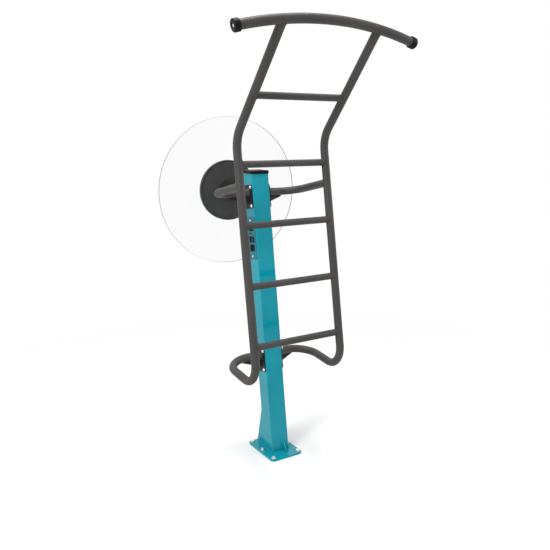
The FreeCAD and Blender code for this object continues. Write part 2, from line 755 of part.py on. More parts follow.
sign_holes = [(("Sizes.sign_width", 0), ("Sizes.sign_screw_along", share)) for share in (-0.5, 0.5)]
sign_top = upper_along - size("bracket_length") / 2 - size("sign_below_bracket")
sign_face = side_face(SIDES["left"], sign_top - size("sign_length") / 2)
sign = plate("sign_body", "sign_width", "sign_length", "sign_thickness", "sign_corner_radius", sign_holes,
             "sign_hole_diameter")
sign.Placement = sign_face
keep("instruction_plate", sign)
sign_blank = cylinder("sign_head_blank", "Sizes.sign_head_diameter / 2", "Sizes.sign_head_height",
                      at(0, 0, size("sign_thickness")))
sign_head = rounded_top("sign_head", sign_blank, size("screw_rounding"))
sign_shank = cylinder("sign_shank", "Sizes.sign_screw_diameter / 2",
                      "Sizes.sign_thickness + Sizes.post_wall", at(0, 0, -size("post_wall")))
sign_places = spots(sign_face, hole_places(sign_holes))
keep("instruction_screws", repeat("sign_screw_set", fuse("sign_screw", sign_head, sign_shank), sign_places))

# Holes through the post's walls

wall_start = at(0, 0, -1.5 * size("post_wall"))
bolt_drill = cylinder("bolt_drill", "Sizes.bolt_hole_diameter / 2", "2 * Sizes.post_wall", wall_start)
sign_drill = cylinder("sign_drill", "Sizes.sign_screw_diameter / 2 + Sizes.thread_clearance",
                      "2 * Sizes.post_wall", wall_start)
keep("post_tube", cut("post_drilled", post_shell, repeat("bolt_drill_set", bolt_drill, bolt_places),
                      repeat("sign_drill_set", sign_drill, sign_places)))

# Stations along the wheel's axis, from the clear disc forwards to the arm tube

disc_front = size("wheel_reach") - size("disc_thickness") / 2
disc_rear = disc_front + size("disc_thickness")
hub_rear = disc_rear + size("hub_thickness")
flange_front = disc_front - size("axle_flange_thickness")
housing_rear = flange_front - size("flange_gap")
bearing_end = housing_rear - size("seal_thickness") - size("clip_thickness") - 2 * size("push_clearance")
rear_bearing = bearing_end - size("bearing_width")
spacer_start = rear_bearing - size("bearing_spread")
front_bearing = spacer_start - size("bearing_width")
washer_start = front_bearing - size("axle_washer_thickness")
nut_start = washer_start - size("axle_nut_height")
axle_front = nut_start - size("axle_tail")
housing_front = axle_front - size("axle_end_gap")


def on_axis(station):
    """A frame on the wheel's axis: Z to the rear."""
    return at(0, station, wheel_height, Rotation(X, -90))


def axial(name, radius, start, end):
    """A round bar on the wheel's axis, between two stations."""
    bar = doc.addObject("Part::Cylinder", name)
    bar.setExpression("Radius", radius)
    bar.Height = end - start
    bar.Placement = on_axis(start)
    return bar


def axial_ring(name, outer, inner, start, end):
    """A bored bar on the wheel's axis, between two stations."""
    return cut(name, axial(f"{name}_blank", outer, start, end), axial(f"{name}_bore", inner, start, end))


def around(frame, radius, count):
    """Places evenly round a circle in a frame's own XY plane."""
    turns = [2 * math.pi * step / count for step in range(count)]
    return [frame.multiply(at(radius * math.cos(turn), radius * math.sin(turn), 0)) for turn in turns]


# Wheel arm: tube on the wheel plate, with a gusset under it

plate_side = half_space("plate_side", far, wheel_face.multiply(at(0, 0, size("bracket_thickness"))))
plate_front = on_post(0, wheel_plate_face, wheel_along).y
tube_start = plate_front - size("wheel_tube_diameter")
wheel_tube_outer = axial("wheel_tube_outer", "Sizes.wheel_tube_diameter / 2", tube_start, housing_front)
wheel_tube_bore = axial("wheel_tube_bore", "Sizes.wheel_tube_diameter / 2 - Sizes.wheel_tube_wall",
                        tube_start, housing_front)
keep("wheel_arm_tube", cut("wheel_arm_tube", wheel_tube_outer, wheel_tube_bore, plate_side))
gusset_sink = size("wheel_gusset_drop") * math.tan(lean) + size("bracket_thickness")
wheel_gusset = gusset("wheel_gusset_body", f"Sizes.wheel_gusset_reach + {gusset_sink}",
                      "Sizes.wheel_gusset_drop", "Sizes.wheel_tube_diameter / 2")
turn = Rotation(Y, Z * -1, X * -1, "ZXY")
wheel_gusset.Placement = at(half_gusset, plate_front - gusset_sink, wheel_height, turn)
keep("wheel_arm_gusset", cut("wheel_arm_gusset", wheel_gusset, wheel_tube_outer, plate_side))

# Bearing housing with two seats, a land between them and a groove for the retaining ring

seat_radius = "Sizes.bearing_outer / 2 + Sizes.seat_clearance"
clip_end = bearing_end + size("clip_thickness")
housing = axial("housing_blank", "Sizes.housing_diameter / 2", housing_front, housing_rear)
front_seat = axial("front_seat", seat_radius, housing_front, spacer_start)
land_bore = axial("land_bore", "Sizes.housing_land_diameter / 2", spacer_start, rear_bearing)
rear_seat = axial("rear_seat", seat_radius, rear_bearing, housing_rear)
clip_groove = axial("clip_groove", "Sizes.bearing_outer / 2 + Sizes.clip_depth", bearing_end,
                    clip_end + size("push_clearance"))
keep("bearing_housing", cut("bearing_housing", housing, front_seat, land_bore, rear_seat, clip_groove))

# Two ball bearings, a spacer, a retaining ring and a shaft seal

bearing_places = [on_axis(front_bearing), on_axis(rear_bearing)]
ball_pitch = (size("bearing_bore") + size("bearing_outer")) / 4
ball_middle = at(0, 0, size("bearing_width") / 2)
race = doc.addObject("Part::Torus", "race")
race.Radius1 = ball_pitch
race.setExpression("Radius2", "Sizes.bearing_ball_diameter / 2 + Sizes.ball_clearance")
race.Placement = ball_middle
outer_ring = ring("outer_ring", "Sizes.bearing_outer / 2",
                  "Sizes.bearing_outer / 2 - Sizes.bearing_ring_wall", "Sizes.bearing_width")
keep("bearing_outer_rings", repeat("outer_ring_pair", cut("outer_race", outer_ring, race), bearing_places))
inner_radius = "Sizes.bearing_bore / 2 + Sizes.bearing_ring_wall"
shaft_fit = "Sizes.bearing_bore / 2 + Sizes.seat_clearance"
inner_ring = ring("inner_ring", inner_radius, shaft_fit, "Sizes.bearing_width")
keep("bearing_inner_rings", repeat("inner_ring_pair", cut("inner_race", inner_ring, race), bearing_places))
ball = doc.addObject("Part::Sphere", "ball")
ball.setExpression("Radius", "Sizes.bearing_ball_diameter / 2")
ball_count = round(size("bearing_ball_count"))
ball_places = [place for bearing in bearing_places
               for place in around(bearing.multiply(ball_middle), ball_pitch, ball_count)]
keep("bearing_balls", repeat("ball_set", ball, ball_places))
keep("bearing_spacer", axial_ring("bearing_spacer", inner_radius, shaft_fit, spacer_start, rear_bearing))
clip_outer = "Sizes.bearing_outer / 2 + Sizes.clip_depth - Sizes.thread_clearance"
clip = axial_ring("clip_ring", clip_outer, f"{clip_outer} - Sizes.clip_width", bearing_end, clip_end)
clip_gap = doc.addObject("Part::Box", "clip_gap")
clip_gap.setExpression("Length", "Sizes.clip_opening")
clip_gap.setExpression("Width", "Sizes.housing_diameter / 2")
clip_gap.setExpression("Height", "Sizes.clip_thickness")
clip_gap.Placement = on_axis(bearing_end).multiply(at(-size("clip_opening") / 2, 0, 0))
keep("retaining_ring", cut("retaining_ring", clip, clip_gap))
seal_start = clip_end + size("push_clearance")
keep("shaft_seal", axial_ring("shaft_seal", "Sizes.bearing_outer / 2",
                              "Sizes.axle_collar_diameter / 2 + Sizes.running_clearance", seal_start,
                              seal_start + size("seal_thickness")))

# Axle: shaft, collar, flange and spigot in one turned piece, with its washer and nut

bolt_ring = size("hub_bolt_circle") / 2
bolt_count = round(size("hub_bolt_count"))
axle_body = fuse("axle_body", axial("axle_shaft", "Sizes.bearing_bore / 2", axle_front, bearing_end),
                 axial("axle_collar", "Sizes.axle_collar_diameter / 2", bearing_end, flange_front),
                 axial("axle_flange", "Sizes.axle_flange_diameter / 2", flange_front, disc_front),
                 axial("axle_spigot", "Sizes.axle_spigot_diameter / 2", disc_front, hub_rear))
flange_drill = cylinder("flange_drill", "Sizes.hub_bolt_diameter / 2 + Sizes.thread_clearance",
                        "Sizes.axle_flange_thickness")
flange_spots = around(on_axis(flange_front), bolt_ring, bolt_count)
flange_holes = repeat("flange_drill_set", flange_drill, flange_spots)
screw_end = hub_rear - size("cap_screw_grip") - size("push_clearance")
screw_hole = axial("spigot_hole", screw_bore, screw_end, hub_rear)
keep("axle", cut("axle", axle_body, flange_holes, screw_hole))
keep("axle_washer", axial_ring("axle_washer", inner_radius, shaft_fit, washer_start, front_bearing))
axle_nut = cut("axle_nut", hexagon("axle_nut_blank", "Sizes.axle_nut_width", "Sizes.axle_nut_height"),
               cylinder("axle_nut_bore", "Sizes.bearing_bore / 2 + Sizes.thread_clearance",
                        "Sizes.axle_nut_height"))
keep("axle_nut", carried("axle_nut_seated", axle_nut, on_axis(nut_start)))

# Clear disc and hub plate on the spigot, with their bolts

spigot_fit = "Sizes.axle_spigot_diameter / 2 + Sizes.thread_clearance"
disc_drill = cylinder("disc_drill", "Sizes.hub_hole_diameter / 2",
                      "Sizes.disc_thickness + Sizes.hub_thickness")
disc_holes = repeat("disc_drill_set", disc_drill, around(on_axis(disc_front), bolt_ring, bolt_count))
clear_disc = axial_ring("clear_disc", "Sizes.disc_diameter / 2", spigot_fit, disc_front, disc_rear)
keep("clear_disc", cut("clear_disc_drilled", clear_disc, disc_holes))
hub_blank = rounded_top("hub_blank", cylinder("hub_round", "Sizes.hub_diameter / 2", "Sizes.hub_thickness"),
                        size("hub_rounding"))
hub_seated = carried("hub_seated", hub_blank, on_axis(disc_rear))
hub_bore = axial("hub_bore", spigot_fit, disc_rear, hub_rear)
keep("hub_plate", cut("hub_plate", hub_seated, hub_bore, disc_holes))
clamp_length = "Sizes.axle_flange_thickness + Sizes.disc_thickness + Sizes.hub_thickness"
head_blank = cylinder("hub_head_blank", "Sizes.hub_head_diameter / 2", "Sizes.hub_head_height",
                      at(0, 0, hub_rear - flange_front))
hub_head = rounded_top("hub_head", head_blank, size("screw_rounding"))
hub_bolt = fuse("hub_bolt", hub_head, cylinder("hub_shank", "Sizes.hub_bolt_diameter / 2", clamp_length))
keep("hub_bolts", repeat("hub_bolt_set", hub_bolt, flange_spots))

# Hub cap over the bolts, held by one screw into the spigot

cup = rounded_top("cup", cylinder("cup_blank", "Sizes.hub_cap_diameter / 2", "Sizes.hub_cap_height"),
                  size("hub_cap_rounding"))
cup_depth = "Sizes.hub_cap_height - Sizes.hub_cap_wall"
cup_hollow = cylinder("cup_hollow", "Sizes.hub_cap_diameter / 2 - Sizes.hub_cap_wall", cup_depth)
cup_post = cylinder("cup_post", "Sizes.hub_cap_post_diameter / 2", cup_depth)
cup_bore = cylinder("cup_bore", "Sizes.cap_screw_diameter / 2 + Sizes.push_clearance",
                    "Sizes.hub_cap_height")
hub_cap = cut("hub_cap", fuse("hub_cap_body", cut("cup_shell", cup, cup_hollow), cup_post), cup_bore)
keep("hub_cap", carried("hub_cap_seated", hub_cap, on_axis(hub_rear)))
hub_screw_blank = cylinder("hub_screw_head_blank", "Sizes.cap_screw_head_diameter / 2",
                           "Sizes.cap_screw_head_height", at(0, 0, size("hub_cap_height")))
hub_screw_head = rounded_top("hub_screw_head", hub_screw_blank, size("screw_rounding"))
hub_screw_shank = cylinder("hub_screw_shank", "Sizes.cap_screw_diameter / 2",
                           "Sizes.hub_cap_height + Sizes.cap_screw_grip", at(0, 0, -size("cap_screw_grip")))
hub_screw = fuse("hub_screw", hub_screw_head, hub_screw_shank)
keep("hub_cap_screw", carried("hub_screw_seated", hub_screw, on_axis(hub_rear)))

# Check every object, then write one file for each piece

doc.recompute()
for item in doc.Objects:
    if "Invalid" in item.State or "Error" in item.State:
        raise ValueError(f"{item.Label} did not build: {item.State}")
os.makedirs("parts", exist_ok=True)
for label, piece in nodes.items():
    if piece.Shape.isNull() or not piece.Shape.isValid() or not piece.Shape.Solids:
        raise ValueError(f"{label} has no sound solid")
    piece.Shape.exportStep(f"parts/{label}.step")
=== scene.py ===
# %% [markdown]
# # Dressing an outdoor fitness station
# The solids of the station come in as a fixed frame: a leaning square post on a bolted base plate, a
# bent tube ladder with an arched bar, and a clear wheel behind. They already have the right shapes, so
# this lesson gives them their finishes and adds what a workshop adds last: weld beads, domed nuts,
# bolts with sockets, screws and a blank printed plate.

# %% Load the frame
import json
import math

import bpy
from mathutils import Matrix, Vector


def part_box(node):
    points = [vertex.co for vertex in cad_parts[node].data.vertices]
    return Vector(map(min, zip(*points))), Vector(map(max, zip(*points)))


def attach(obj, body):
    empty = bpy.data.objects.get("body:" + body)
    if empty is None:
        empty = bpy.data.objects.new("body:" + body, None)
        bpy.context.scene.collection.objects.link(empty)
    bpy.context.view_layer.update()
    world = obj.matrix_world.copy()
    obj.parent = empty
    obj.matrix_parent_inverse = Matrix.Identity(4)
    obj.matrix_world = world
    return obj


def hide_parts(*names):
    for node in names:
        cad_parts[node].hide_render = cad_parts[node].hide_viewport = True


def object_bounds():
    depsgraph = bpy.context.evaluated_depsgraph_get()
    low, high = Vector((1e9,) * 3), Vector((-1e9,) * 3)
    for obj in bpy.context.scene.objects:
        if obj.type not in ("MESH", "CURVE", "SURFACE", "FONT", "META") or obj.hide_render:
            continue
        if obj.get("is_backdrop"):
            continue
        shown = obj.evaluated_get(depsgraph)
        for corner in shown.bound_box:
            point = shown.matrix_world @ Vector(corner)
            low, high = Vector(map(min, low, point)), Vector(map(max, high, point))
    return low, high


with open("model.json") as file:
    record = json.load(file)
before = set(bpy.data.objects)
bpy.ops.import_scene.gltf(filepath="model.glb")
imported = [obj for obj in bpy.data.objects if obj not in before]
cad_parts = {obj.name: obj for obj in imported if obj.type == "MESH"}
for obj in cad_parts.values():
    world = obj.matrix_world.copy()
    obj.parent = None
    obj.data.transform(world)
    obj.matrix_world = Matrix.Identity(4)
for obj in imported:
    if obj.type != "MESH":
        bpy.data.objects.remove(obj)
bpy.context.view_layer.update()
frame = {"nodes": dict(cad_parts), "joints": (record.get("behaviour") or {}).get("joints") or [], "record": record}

bpy.ops.object.select_all(action="DESELECT")

# %% [markdown]
# ## A shelf of surface effects
# Every paint on the station is a powder coat, and every coat has the same three habits: a fine orange
# peel, edges that catch the light, and dust where rain leaves it. Each habit is one shader node group,
# built once and placed in every material with its own values. The helpers come first: a colour, a node
# with its inputs, and a link.

# %% Helpers for nodes


def linear(part):
    """One channel of a screen colour, from 0 to 255, as the linear value that shaders use."""
    share = part / 255
    return share / 12.92 if share <= 0.04045 else ((share + 0.055) / 1.055) ** 2.4


def srgb(red, green, blue):
    """A colour as a screen shows it."""
    return (linear(red), linear(green), linear(blue), 1.0)


def plug(tree, node, label, value):
    """Link a socket into an input, or write a plain value there."""
    socket = node.inputs[int(label)] if label.isdigit() else node.inputs[label]
    if isinstance(value, bpy.types.NodeSocket):
        tree.links.new(value, socket)
    else:
        socket.default_value = value


def add(tree, kind, settings=None, **inputs):
    """Add a node, set its properties, and fill or link its inputs by name."""
    node = tree.nodes.new(kind)
    for key, value in (settings or {}).items():
        setattr(node, key, value)
    for label, value in inputs.items():
        plug(tree, node, label.replace("_", " "), value)
    return node


print("teal in linear values:", [round(part, 3) for part in srgb(4, 144, 161)])

# %% [markdown]
# ### Sums, ramps and noise
# A mask is a little arithmetic on a noise. Object coordinates keep the patterns at real size, because
# each piece's origin is the station's own origin. Most values of a noise lie between 0.3 and 0.7.

# %% Helpers for masks
NOISE_SPAN = (0.3, 0.7)


def math_node(tree, operation, first, second=0.0, clamp=False):
    """One step of arithmetic."""
    node = tree.nodes.new("ShaderNodeMath")
    node.operation = operation
    node.use_clamp = clamp
    plug(tree, node, "0", first)
    plug(tree, node, "1", second)
    return node.outputs[0]


def ramp(tree, value, low, high, start=0.0, end=1.0):
    """A value's smooth way from low to high, as a number from start to end."""
    node = add(tree, "ShaderNodeMapRange", {"interpolation_type": "SMOOTHSTEP"})
    for label, number in (("Value", value), ("From Min", low), ("From Max", high),
                          ("To Min", start), ("To Max", end)):
        plug(tree, node, label, number)
    return node.outputs["Result"]


def mix(tree, share, first, second):
    """Two colours, mixed by a share."""
    node = add(tree, "ShaderNodeMix", {"data_type": "RGBA"})
    plug(tree, node, "0", share)
    plug(tree, node, "6", first)
    plug(tree, node, "7", second)
    return node.outputs[2]


def noise(tree, scale, detail=2.0, place=None):
    """A cloud of values, on the piece's own coordinates."""
    place = place or add(tree, "ShaderNodeTexCoord").outputs["Object"]
    node = add(tree, "ShaderNodeTexNoise", Vector=place, Scale=scale, Detail=detail)
    return node.outputs["Fac"]


print("noise span:", NOISE_SPAN)

# %% [markdown]
# ### Groups
# An effect is an empty shader group with named sockets, filled in its own cell below. A material places
# it by name and sets or links the sockets that it wants to be different.

# %% Helpers for groups


def effect(name, inputs, outputs):
    """An empty shader group with named sockets."""
    tree = bpy.data.node_groups.new(name, "ShaderNodeTree")
    for label, value in inputs.items():
        socket = tree.interface.new_socket(name=label, in_out="INPUT", socket_type="NodeSocketFloat")
        socket.default_value = value
    for label, kind in outputs.items():
        tree.interface.new_socket(name=label, in_out="OUTPUT", socket_type=f"NodeSocket{kind}")
    return tree, tree.nodes.new("NodeGroupInput").outputs, tree.nodes.new("NodeGroupOutput")


def place_effect(tree, name, **inputs):
    """Place a shader group in a material with its own values."""
    return add(tree, "ShaderNodeGroup", {"node_tree": bpy.data.node_groups[name]}, **inputs).outputs


print("helpers ready")

# %% [markdown]
# ### Orange peel
# Powder coat melts into a skin with shallow dimples a millimetre or two across. Fine noise gives their
# height for a Bump node, and a slow noise gives the broad, faint change of shade of a sprayed surface.

# %% Orange peel group
tree, given, result = effect("orange_peel", {"Dimples per metre": 650.0, "Cloud per metre": 5.0},
                             {"Height": "Float", "Cloud": "Float"})
plug(tree, result, "Height", noise(tree, given["Dimples per metre"]))
plug(tree, result, "Cloud", ramp(tree, noise(tree, given["Cloud per metre"], detail=3.0), *NOISE_SPAN))
print("group:", tree.name)

# %% [markdown]
# ### Edge rub
# Cut plates and tube ends have sharp corners in a solid model, and real ones never do. The Bevel node
# rounds the shading over a millimetre, and where its normal leaves the surface's own normal there is an
# edge, which is where paint thins and shows a lighter line. The cosine between the two normals measures
# that, and a noise breaks the line up.

# %% Edge rub group
FLAT_COSINE = 0.99
EDGE_COSINE = 0.86
BREAK_SPAN = (0.35, 0.65)
FAINTEST = 0.35
tree, given, result = effect("edge_rub", {"Radius": 0.0012, "Breaks per metre": 60.0},
                             {"Edge": "Float", "Soft Normal": "Vector"})
rounded = add(tree, "ShaderNodeBevel", {"samples": 6}, Radius=given["Radius"]).outputs["Normal"]
surface = add(tree, "ShaderNodeNewGeometry").outputs["Normal"]
facing = add(tree, "ShaderNodeVectorMath", {"operation": "DOT_PRODUCT"})
plug(tree, facing, "0", rounded)
plug(tree, facing, "1", surface)
line = ramp(tree, facing.outputs["Value"], FLAT_COSINE, EDGE_COSINE)
breaks = ramp(tree, noise(tree, given["Breaks per metre"], detail=3.0), *BREAK_SPAN, FAINTEST, 1.0)
plug(tree, result, "Edge", math_node(tree, "MULTIPLY", line, breaks))
plug(tree, result, "Soft Normal", rounded)
print("group:", tree.name)

# %% [markdown]
# ### Dust
# Outdoors, dust lies on faces that look up, and rain splashes soil against the lowest hand's breadth.
# The Z of the piece's own normal and the height above the ground drive the mask, and noise makes it
# patchy. The piece's own normal turns with it, so dust on the wheel stays where it lies.

# %% Dust group
UPWARD_FROM = 0.45
PATCHES_PER_METRE = 22.0
PATCH_SPAN = (0.38, 0.68)
SPECKS_PER_METRE = 420.0
SPECK_SPAN = (0.5, 0.8)
tree, given, result = effect("settled_dust", {"On Top": 0.015, "Splash Height": 0.18, "Splash": 0.02},
                             {"Dust": "Float"})
coordinates = add(tree, "ShaderNodeTexCoord").outputs
place = coordinates["Object"]
height = add(tree, "ShaderNodeSeparateXYZ", Vector=place).outputs["Z"]
facing = add(tree, "ShaderNodeSeparateXYZ", Vector=coordinates["Normal"]).outputs["Z"]
upward = ramp(tree, facing, UPWARD_FROM, 1.0)
patches = ramp(tree, noise(tree, PATCHES_PER_METRE, 4.0, place), *PATCH_SPAN)
lying = math_node(tree, "MULTIPLY", math_node(tree, "MULTIPLY", upward, given["On Top"]), patches)
above = math_node(tree, "DIVIDE", height, given["Splash Height"])
nearness = math_node(tree, "SUBTRACT", 1.0, above, clamp=True)
specks = ramp(tree, noise(tree, SPECKS_PER_METRE, 4.0, place), *SPECK_SPAN)
splash = math_node(tree, "MULTIPLY", math_node(tree, "MULTIPLY", nearness, specks), given["Splash"])
plug(tree, result, "Dust", math_node(tree, "MAXIMUM", lying, splash))
print("group:", tree.name)

# %% [markdown]
# ### Handled places
# Hands and shoes meet the rungs and the bar in the middle, between the rails, and polish the coat there.
# The distance from the station's middle plane and a noise stretched along the bars give that mask.

# %% Handled group
STROKES_PER_METRE = 70.0
STROKE_STRETCH = 0.35
STROKE_SPAN = (0.42, 0.66)
tree, given, result = effect("handled", {"Half Reach": 0.2}, {"Polish": "Float"})
place = add(tree, "ShaderNodeTexCoord").outputs["Object"]
sideways = math_node(tree, "ABSOLUTE", add(tree, "ShaderNodeSeparateXYZ", Vector=place).outputs["X"])
away = math_node(tree, "DIVIDE", sideways, given["Half Reach"])
middle = math_node(tree, "SUBTRACT", 1.0, away, clamp=True)
stretched = add(tree, "ShaderNodeMapping", Vector=place, Scale=(STROKE_STRETCH, 1.0, 1.0)).outputs["Vector"]
strokes = ramp(tree, noise(tree, STROKES_PER_METRE, 4.0, stretched), *STROKE_SPAN)
plug(tree, result, "Polish", math_node(tree, "MULTIPLY", middle, strokes))
print("group:", tree.name)

# %% [markdown]
# ### The wheel's rims
# The wheel's clear disc and its hub plate are round, and their rims look different from their faces. The
# distance from the axle, which the joint of the frame gives, tells a material where a rim begins.

# %% Wheel rim group
wheel_axis = Vector(frame["joints"][0]["pos_m"])
tree, given, result = effect("wheel_rim", {"Rim From": 0.4, "Rim Width": 0.001},
                             {"Radius": "Float", "Rim": "Float"})
place = add(tree, "ShaderNodeTexCoord").outputs["Object"]
centred = add(tree, "ShaderNodeMapping", Vector=place, Location=(-wheel_axis.x, 0.0, -wheel_axis.z),
              Scale=(1.0, 0.0, 1.0))
length = add(tree, "ShaderNodeVectorMath", {"operation": "LENGTH"})
plug(tree, length, "0", centred.outputs["Vector"])
radius = length.outputs["Value"]
rim_full = math_node(tree, "ADD", given["Rim From"], given["Rim Width"])
plug(tree, result, "Radius", radius)
plug(tree, result, "Rim", ramp(tree, radius, given["Rim From"], rim_full))
print("group:", tree.name, "about", tuple(round(part, 3) for part in wheel_axis))

# %% [markdown]
# ## Paints
# One function makes each powder coat: its colour with a faint cloud, lighter rubbed edges, pale dust,
# orange peel in the Bump node over the softened normal, and a roughness that follows them. The teal is a
# glossy coat, in which the base plate mirrors the post. The tubes are a fine-textured grey, and the
# bracket plates and their gussets a matt near-black.

# %% Powder coats
DUST = srgb(150, 146, 136)
SATIN = 0.25
PAINT_EDGE = 0.6
PAINT_CLOUD = 0.04
DUST_ROUGH = 0.3
PEEL_HEIGHT = 0.0004
finishes = {}


def material(name):
    """A new material's nodes and its shader. The material is kept under its name."""
    made = bpy.data.materials.new(name)
    made.use_nodes = True
    finishes[name] = made
    return made.node_tree, made.node_tree.nodes["Principled BSDF"]


def powder_coat(name, colour, shade, rubbed, rough, peel, dimples, polish=0.0, gloss=SATIN):
    """A painted steel surface, polished where hands and shoes rub if asked."""
    tree, shader = material(name)
    shader.inputs["Specular IOR Level"].default_value = gloss
    skin = place_effect(tree, "orange_peel", Dimples_per_metre=dimples)
    rub = place_effect(tree, "edge_rub")
    soil = place_effect(tree, "settled_dust")
    body = mix(tree, skin["Cloud"], colour, shade)
    worn = mix(tree, math_node(tree, "MULTIPLY", rub["Edge"], PAINT_EDGE), body, rubbed)
    plug(tree, shader, "Base Color", mix(tree, soil["Dust"], worn, DUST))
    cloudy = ramp(tree, skin["Cloud"], 0.0, 1.0, rough - PAINT_CLOUD, rough + PAINT_CLOUD)
    sheen = math_node(tree, "ADD", cloudy, math_node(tree, "MULTIPLY", soil["Dust"], DUST_ROUGH))
    if polish:
        glossy = math_node(tree, "MULTIPLY", place_effect(tree, "handled")["Polish"], polish)
        sheen = math_node(tree, "SUBTRACT", sheen, glossy)
    plug(tree, shader, "Roughness", sheen)
    bump = add(tree, "ShaderNodeBump", Strength=peel, Distance=PEEL_HEIGHT, Height=skin["Height"],
               Normal=rub["Soft Normal"])
    plug(tree, shader, "Normal", bump.outputs["Normal"])


powder_coat("teal_paint", srgb(4, 144, 161), srgb(2, 137, 154), srgb(48, 172, 187),
            rough=0.1, peel=0.05, dimples=420.0, gloss=0.22)
powder_coat("grey_paint", srgb(66, 64, 63), srgb(60, 58, 57), srgb(100, 98, 97),
            rough=0.5, peel=0.2, dimples=800.0, polish=0.1)
powder_coat("dark_paint", srgb(22, 22, 23), srgb(17, 17, 18), srgb(58, 58, 59),
            rough=0.55, peel=0.4, dimples=800.0)
print("finishes:", sorted(finishes))

# %% [markdown]
# ## Moulded plastics and rubber
# The post's cap and the bar's end caps are moulded in black, and the hub plate in dark grey with a black
# rim. Moulds are spark-eroded, which leaves a fine, even grain of small cells: a Voronoi distance at half
# a millimetre.

# %% Moulded plastics
RIM = srgb(9, 9, 10)
HUB_RIM_FROM = 0.163
MOULD_EDGE = 0.45
MOULD_CLOUD = 0.05
GRAIN_HEIGHT = 0.0003


def moulded(name, colour, shade, rubbed, rough, cells, depth, rim_from=None, gloss=SATIN):
    """A moulded surface with a fine grain, and a black rim from some distance off the axle if asked."""
    tree, shader = material(name)
    shader.inputs["Specular IOR Level"].default_value = gloss
    place = add(tree, "ShaderNodeTexCoord").outputs["Object"]
    grain = add(tree, "ShaderNodeTexVoronoi", Vector=place, Scale=cells).outputs["Distance"]
    skin = place_effect(tree, "orange_peel", Cloud_per_metre=9.0)
    rub = place_effect(tree, "edge_rub", Radius=0.0015)
    soil = place_effect(tree, "settled_dust")
    body = mix(tree, skin["Cloud"], colour, shade)
    if rim_from:
        body = mix(tree, place_effect(tree, "wheel_rim", Rim_From=rim_from)["Rim"], body, RIM)
    worn = mix(tree, math_node(tree, "MULTIPLY", rub["Edge"], MOULD_EDGE), body, rubbed)
    plug(tree, shader, "Base Color", mix(tree, soil["Dust"], worn, DUST))
    cloudy = ramp(tree, skin["Cloud"], 0.0, 1.0, rough - MOULD_CLOUD, rough + MOULD_CLOUD)
    plug(tree, shader, "Roughness", cloudy)
    bump = add(tree, "ShaderNodeBump", Strength=depth, Distance=GRAIN_HEIGHT, Height=grain,
               Normal=rub["Soft Normal"])
    plug(tree, shader, "Normal", bump.outputs["Normal"])


moulded("black_plastic", srgb(8, 8, 9), srgb(6, 6, 7), srgb(42, 42, 44),
        rough=0.48, cells=1800.0, depth=0.3, gloss=0.12)
moulded("hub_plastic", srgb(45, 45, 45), srgb(41, 41, 41), srgb(72, 72, 72),
        rough=0.52, cells=1500.0, depth=0.15, rim_from=HUB_RIM_FROM)
moulded("seal_rubber", srgb(22, 22, 22), srgb(17, 17, 17), srgb(40, 40, 40),
        rough=0.7, cells=1200.0, depth=0.2)
print("finishes:", sorted(finishes))

# %% [markdown]
# ## Bare metals
# Bolts, nuts and washers are stainless steel, bearings are ground steel, the axle and the hub's bolts are
# blackened, and the instruction plate is brushed aluminium. On the axle the dark grey is also painted shade:
# its flange is set close to the hub's tone, so that it reads as the soft shade round the arm. Fine lines along
# one direction make the brush marks, in height and in roughness.

# %% Bare metals
BRUSH_STRETCH = 0.04
MARK_SPAN = (0.25, 0.75)
MARK_HEIGHT = 0.0001
SMOOTHER = 0.08
ROUGHER = 0.1


def bare_metal(name, colour, shade, rough, lines, depth):
    """A metal surface with brush marks."""
    tree, shader = material(name)
    place = add(tree, "ShaderNodeTexCoord").outputs["Object"]
    along = add(tree, "ShaderNodeMapping", Vector=place, Scale=(1.0, 1.0, BRUSH_STRETCH)).outputs["Vector"]
    marks = noise(tree, lines, 3.0, along)
    skin = place_effect(tree, "orange_peel", Cloud_per_metre=40.0)
    rub = place_effect(tree, "edge_rub", Radius=0.0005)
    soil = place_effect(tree, "settled_dust")
    body = mix(tree, skin["Cloud"], colour, shade)
    plug(tree, shader, "Base Color", mix(tree, soil["Dust"], body, DUST))
    shader.inputs["Metallic"].default_value = 1.0
    plug(tree, shader, "Roughness", ramp(tree, marks, *MARK_SPAN, rough - SMOOTHER, rough + ROUGHER))
    bump = add(tree, "ShaderNodeBump", Strength=depth, Distance=MARK_HEIGHT, Height=marks,
               Normal=rub["Soft Normal"])
    plug(tree, shader, "Normal", bump.outputs["Normal"])


bare_metal("bolt_steel", srgb(236, 235, 233), srgb(222, 221, 219), rough=0.24, lines=1600.0, depth=0.12)
bare_metal("bearing_steel", srgb(206, 207, 210), srgb(190, 191, 195), rough=0.2, lines=2200.0, depth=0.08)
bare_metal("sign_metal", srgb(104, 113, 117), srgb(94, 103, 107), rough=0.4, lines=1400.0, depth=0.2)
# Blackened steel. On the axle this dark grey is also painted shade, which stands for the arm's soft shadow on the
# hub.
bare_metal("black_oxide_and_shade", srgb(64, 64, 65), srgb(56, 56, 57), rough=0.5, lines=1800.0, depth=0.1)
print("finishes:", sorted(finishes))

# %% [markdown]
# ## The clear disc
# The wheel is a disc of clear acrylic. Its faces are all but invisible, and its sawn and polished rim
# shows as a thin grey line. The distance from the wheel's axis tells rim from face, so one material
# does both: more alpha and a greyer tint at the rim, and a few faint circular wipe marks on the face.

# %% Clear acrylic
FACE_TINT = srgb(180, 182, 182)
RIM_TINT = srgb(112, 115, 116)
FILM_ALPHA = (0.028, 0.045)
RIM_ALPHA = 0.62
RIM_INSET = 0.0014
FILM_PER_METRE = 2.5
WIPES_PER_METRE = 9.0
WIPE_ROUGH = (0.04, 0.1)
ACRYLIC_IOR = 1.49
disc_low, disc_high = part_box("clear_disc")
disc_radius = (disc_high.x - disc_low.x) / 2

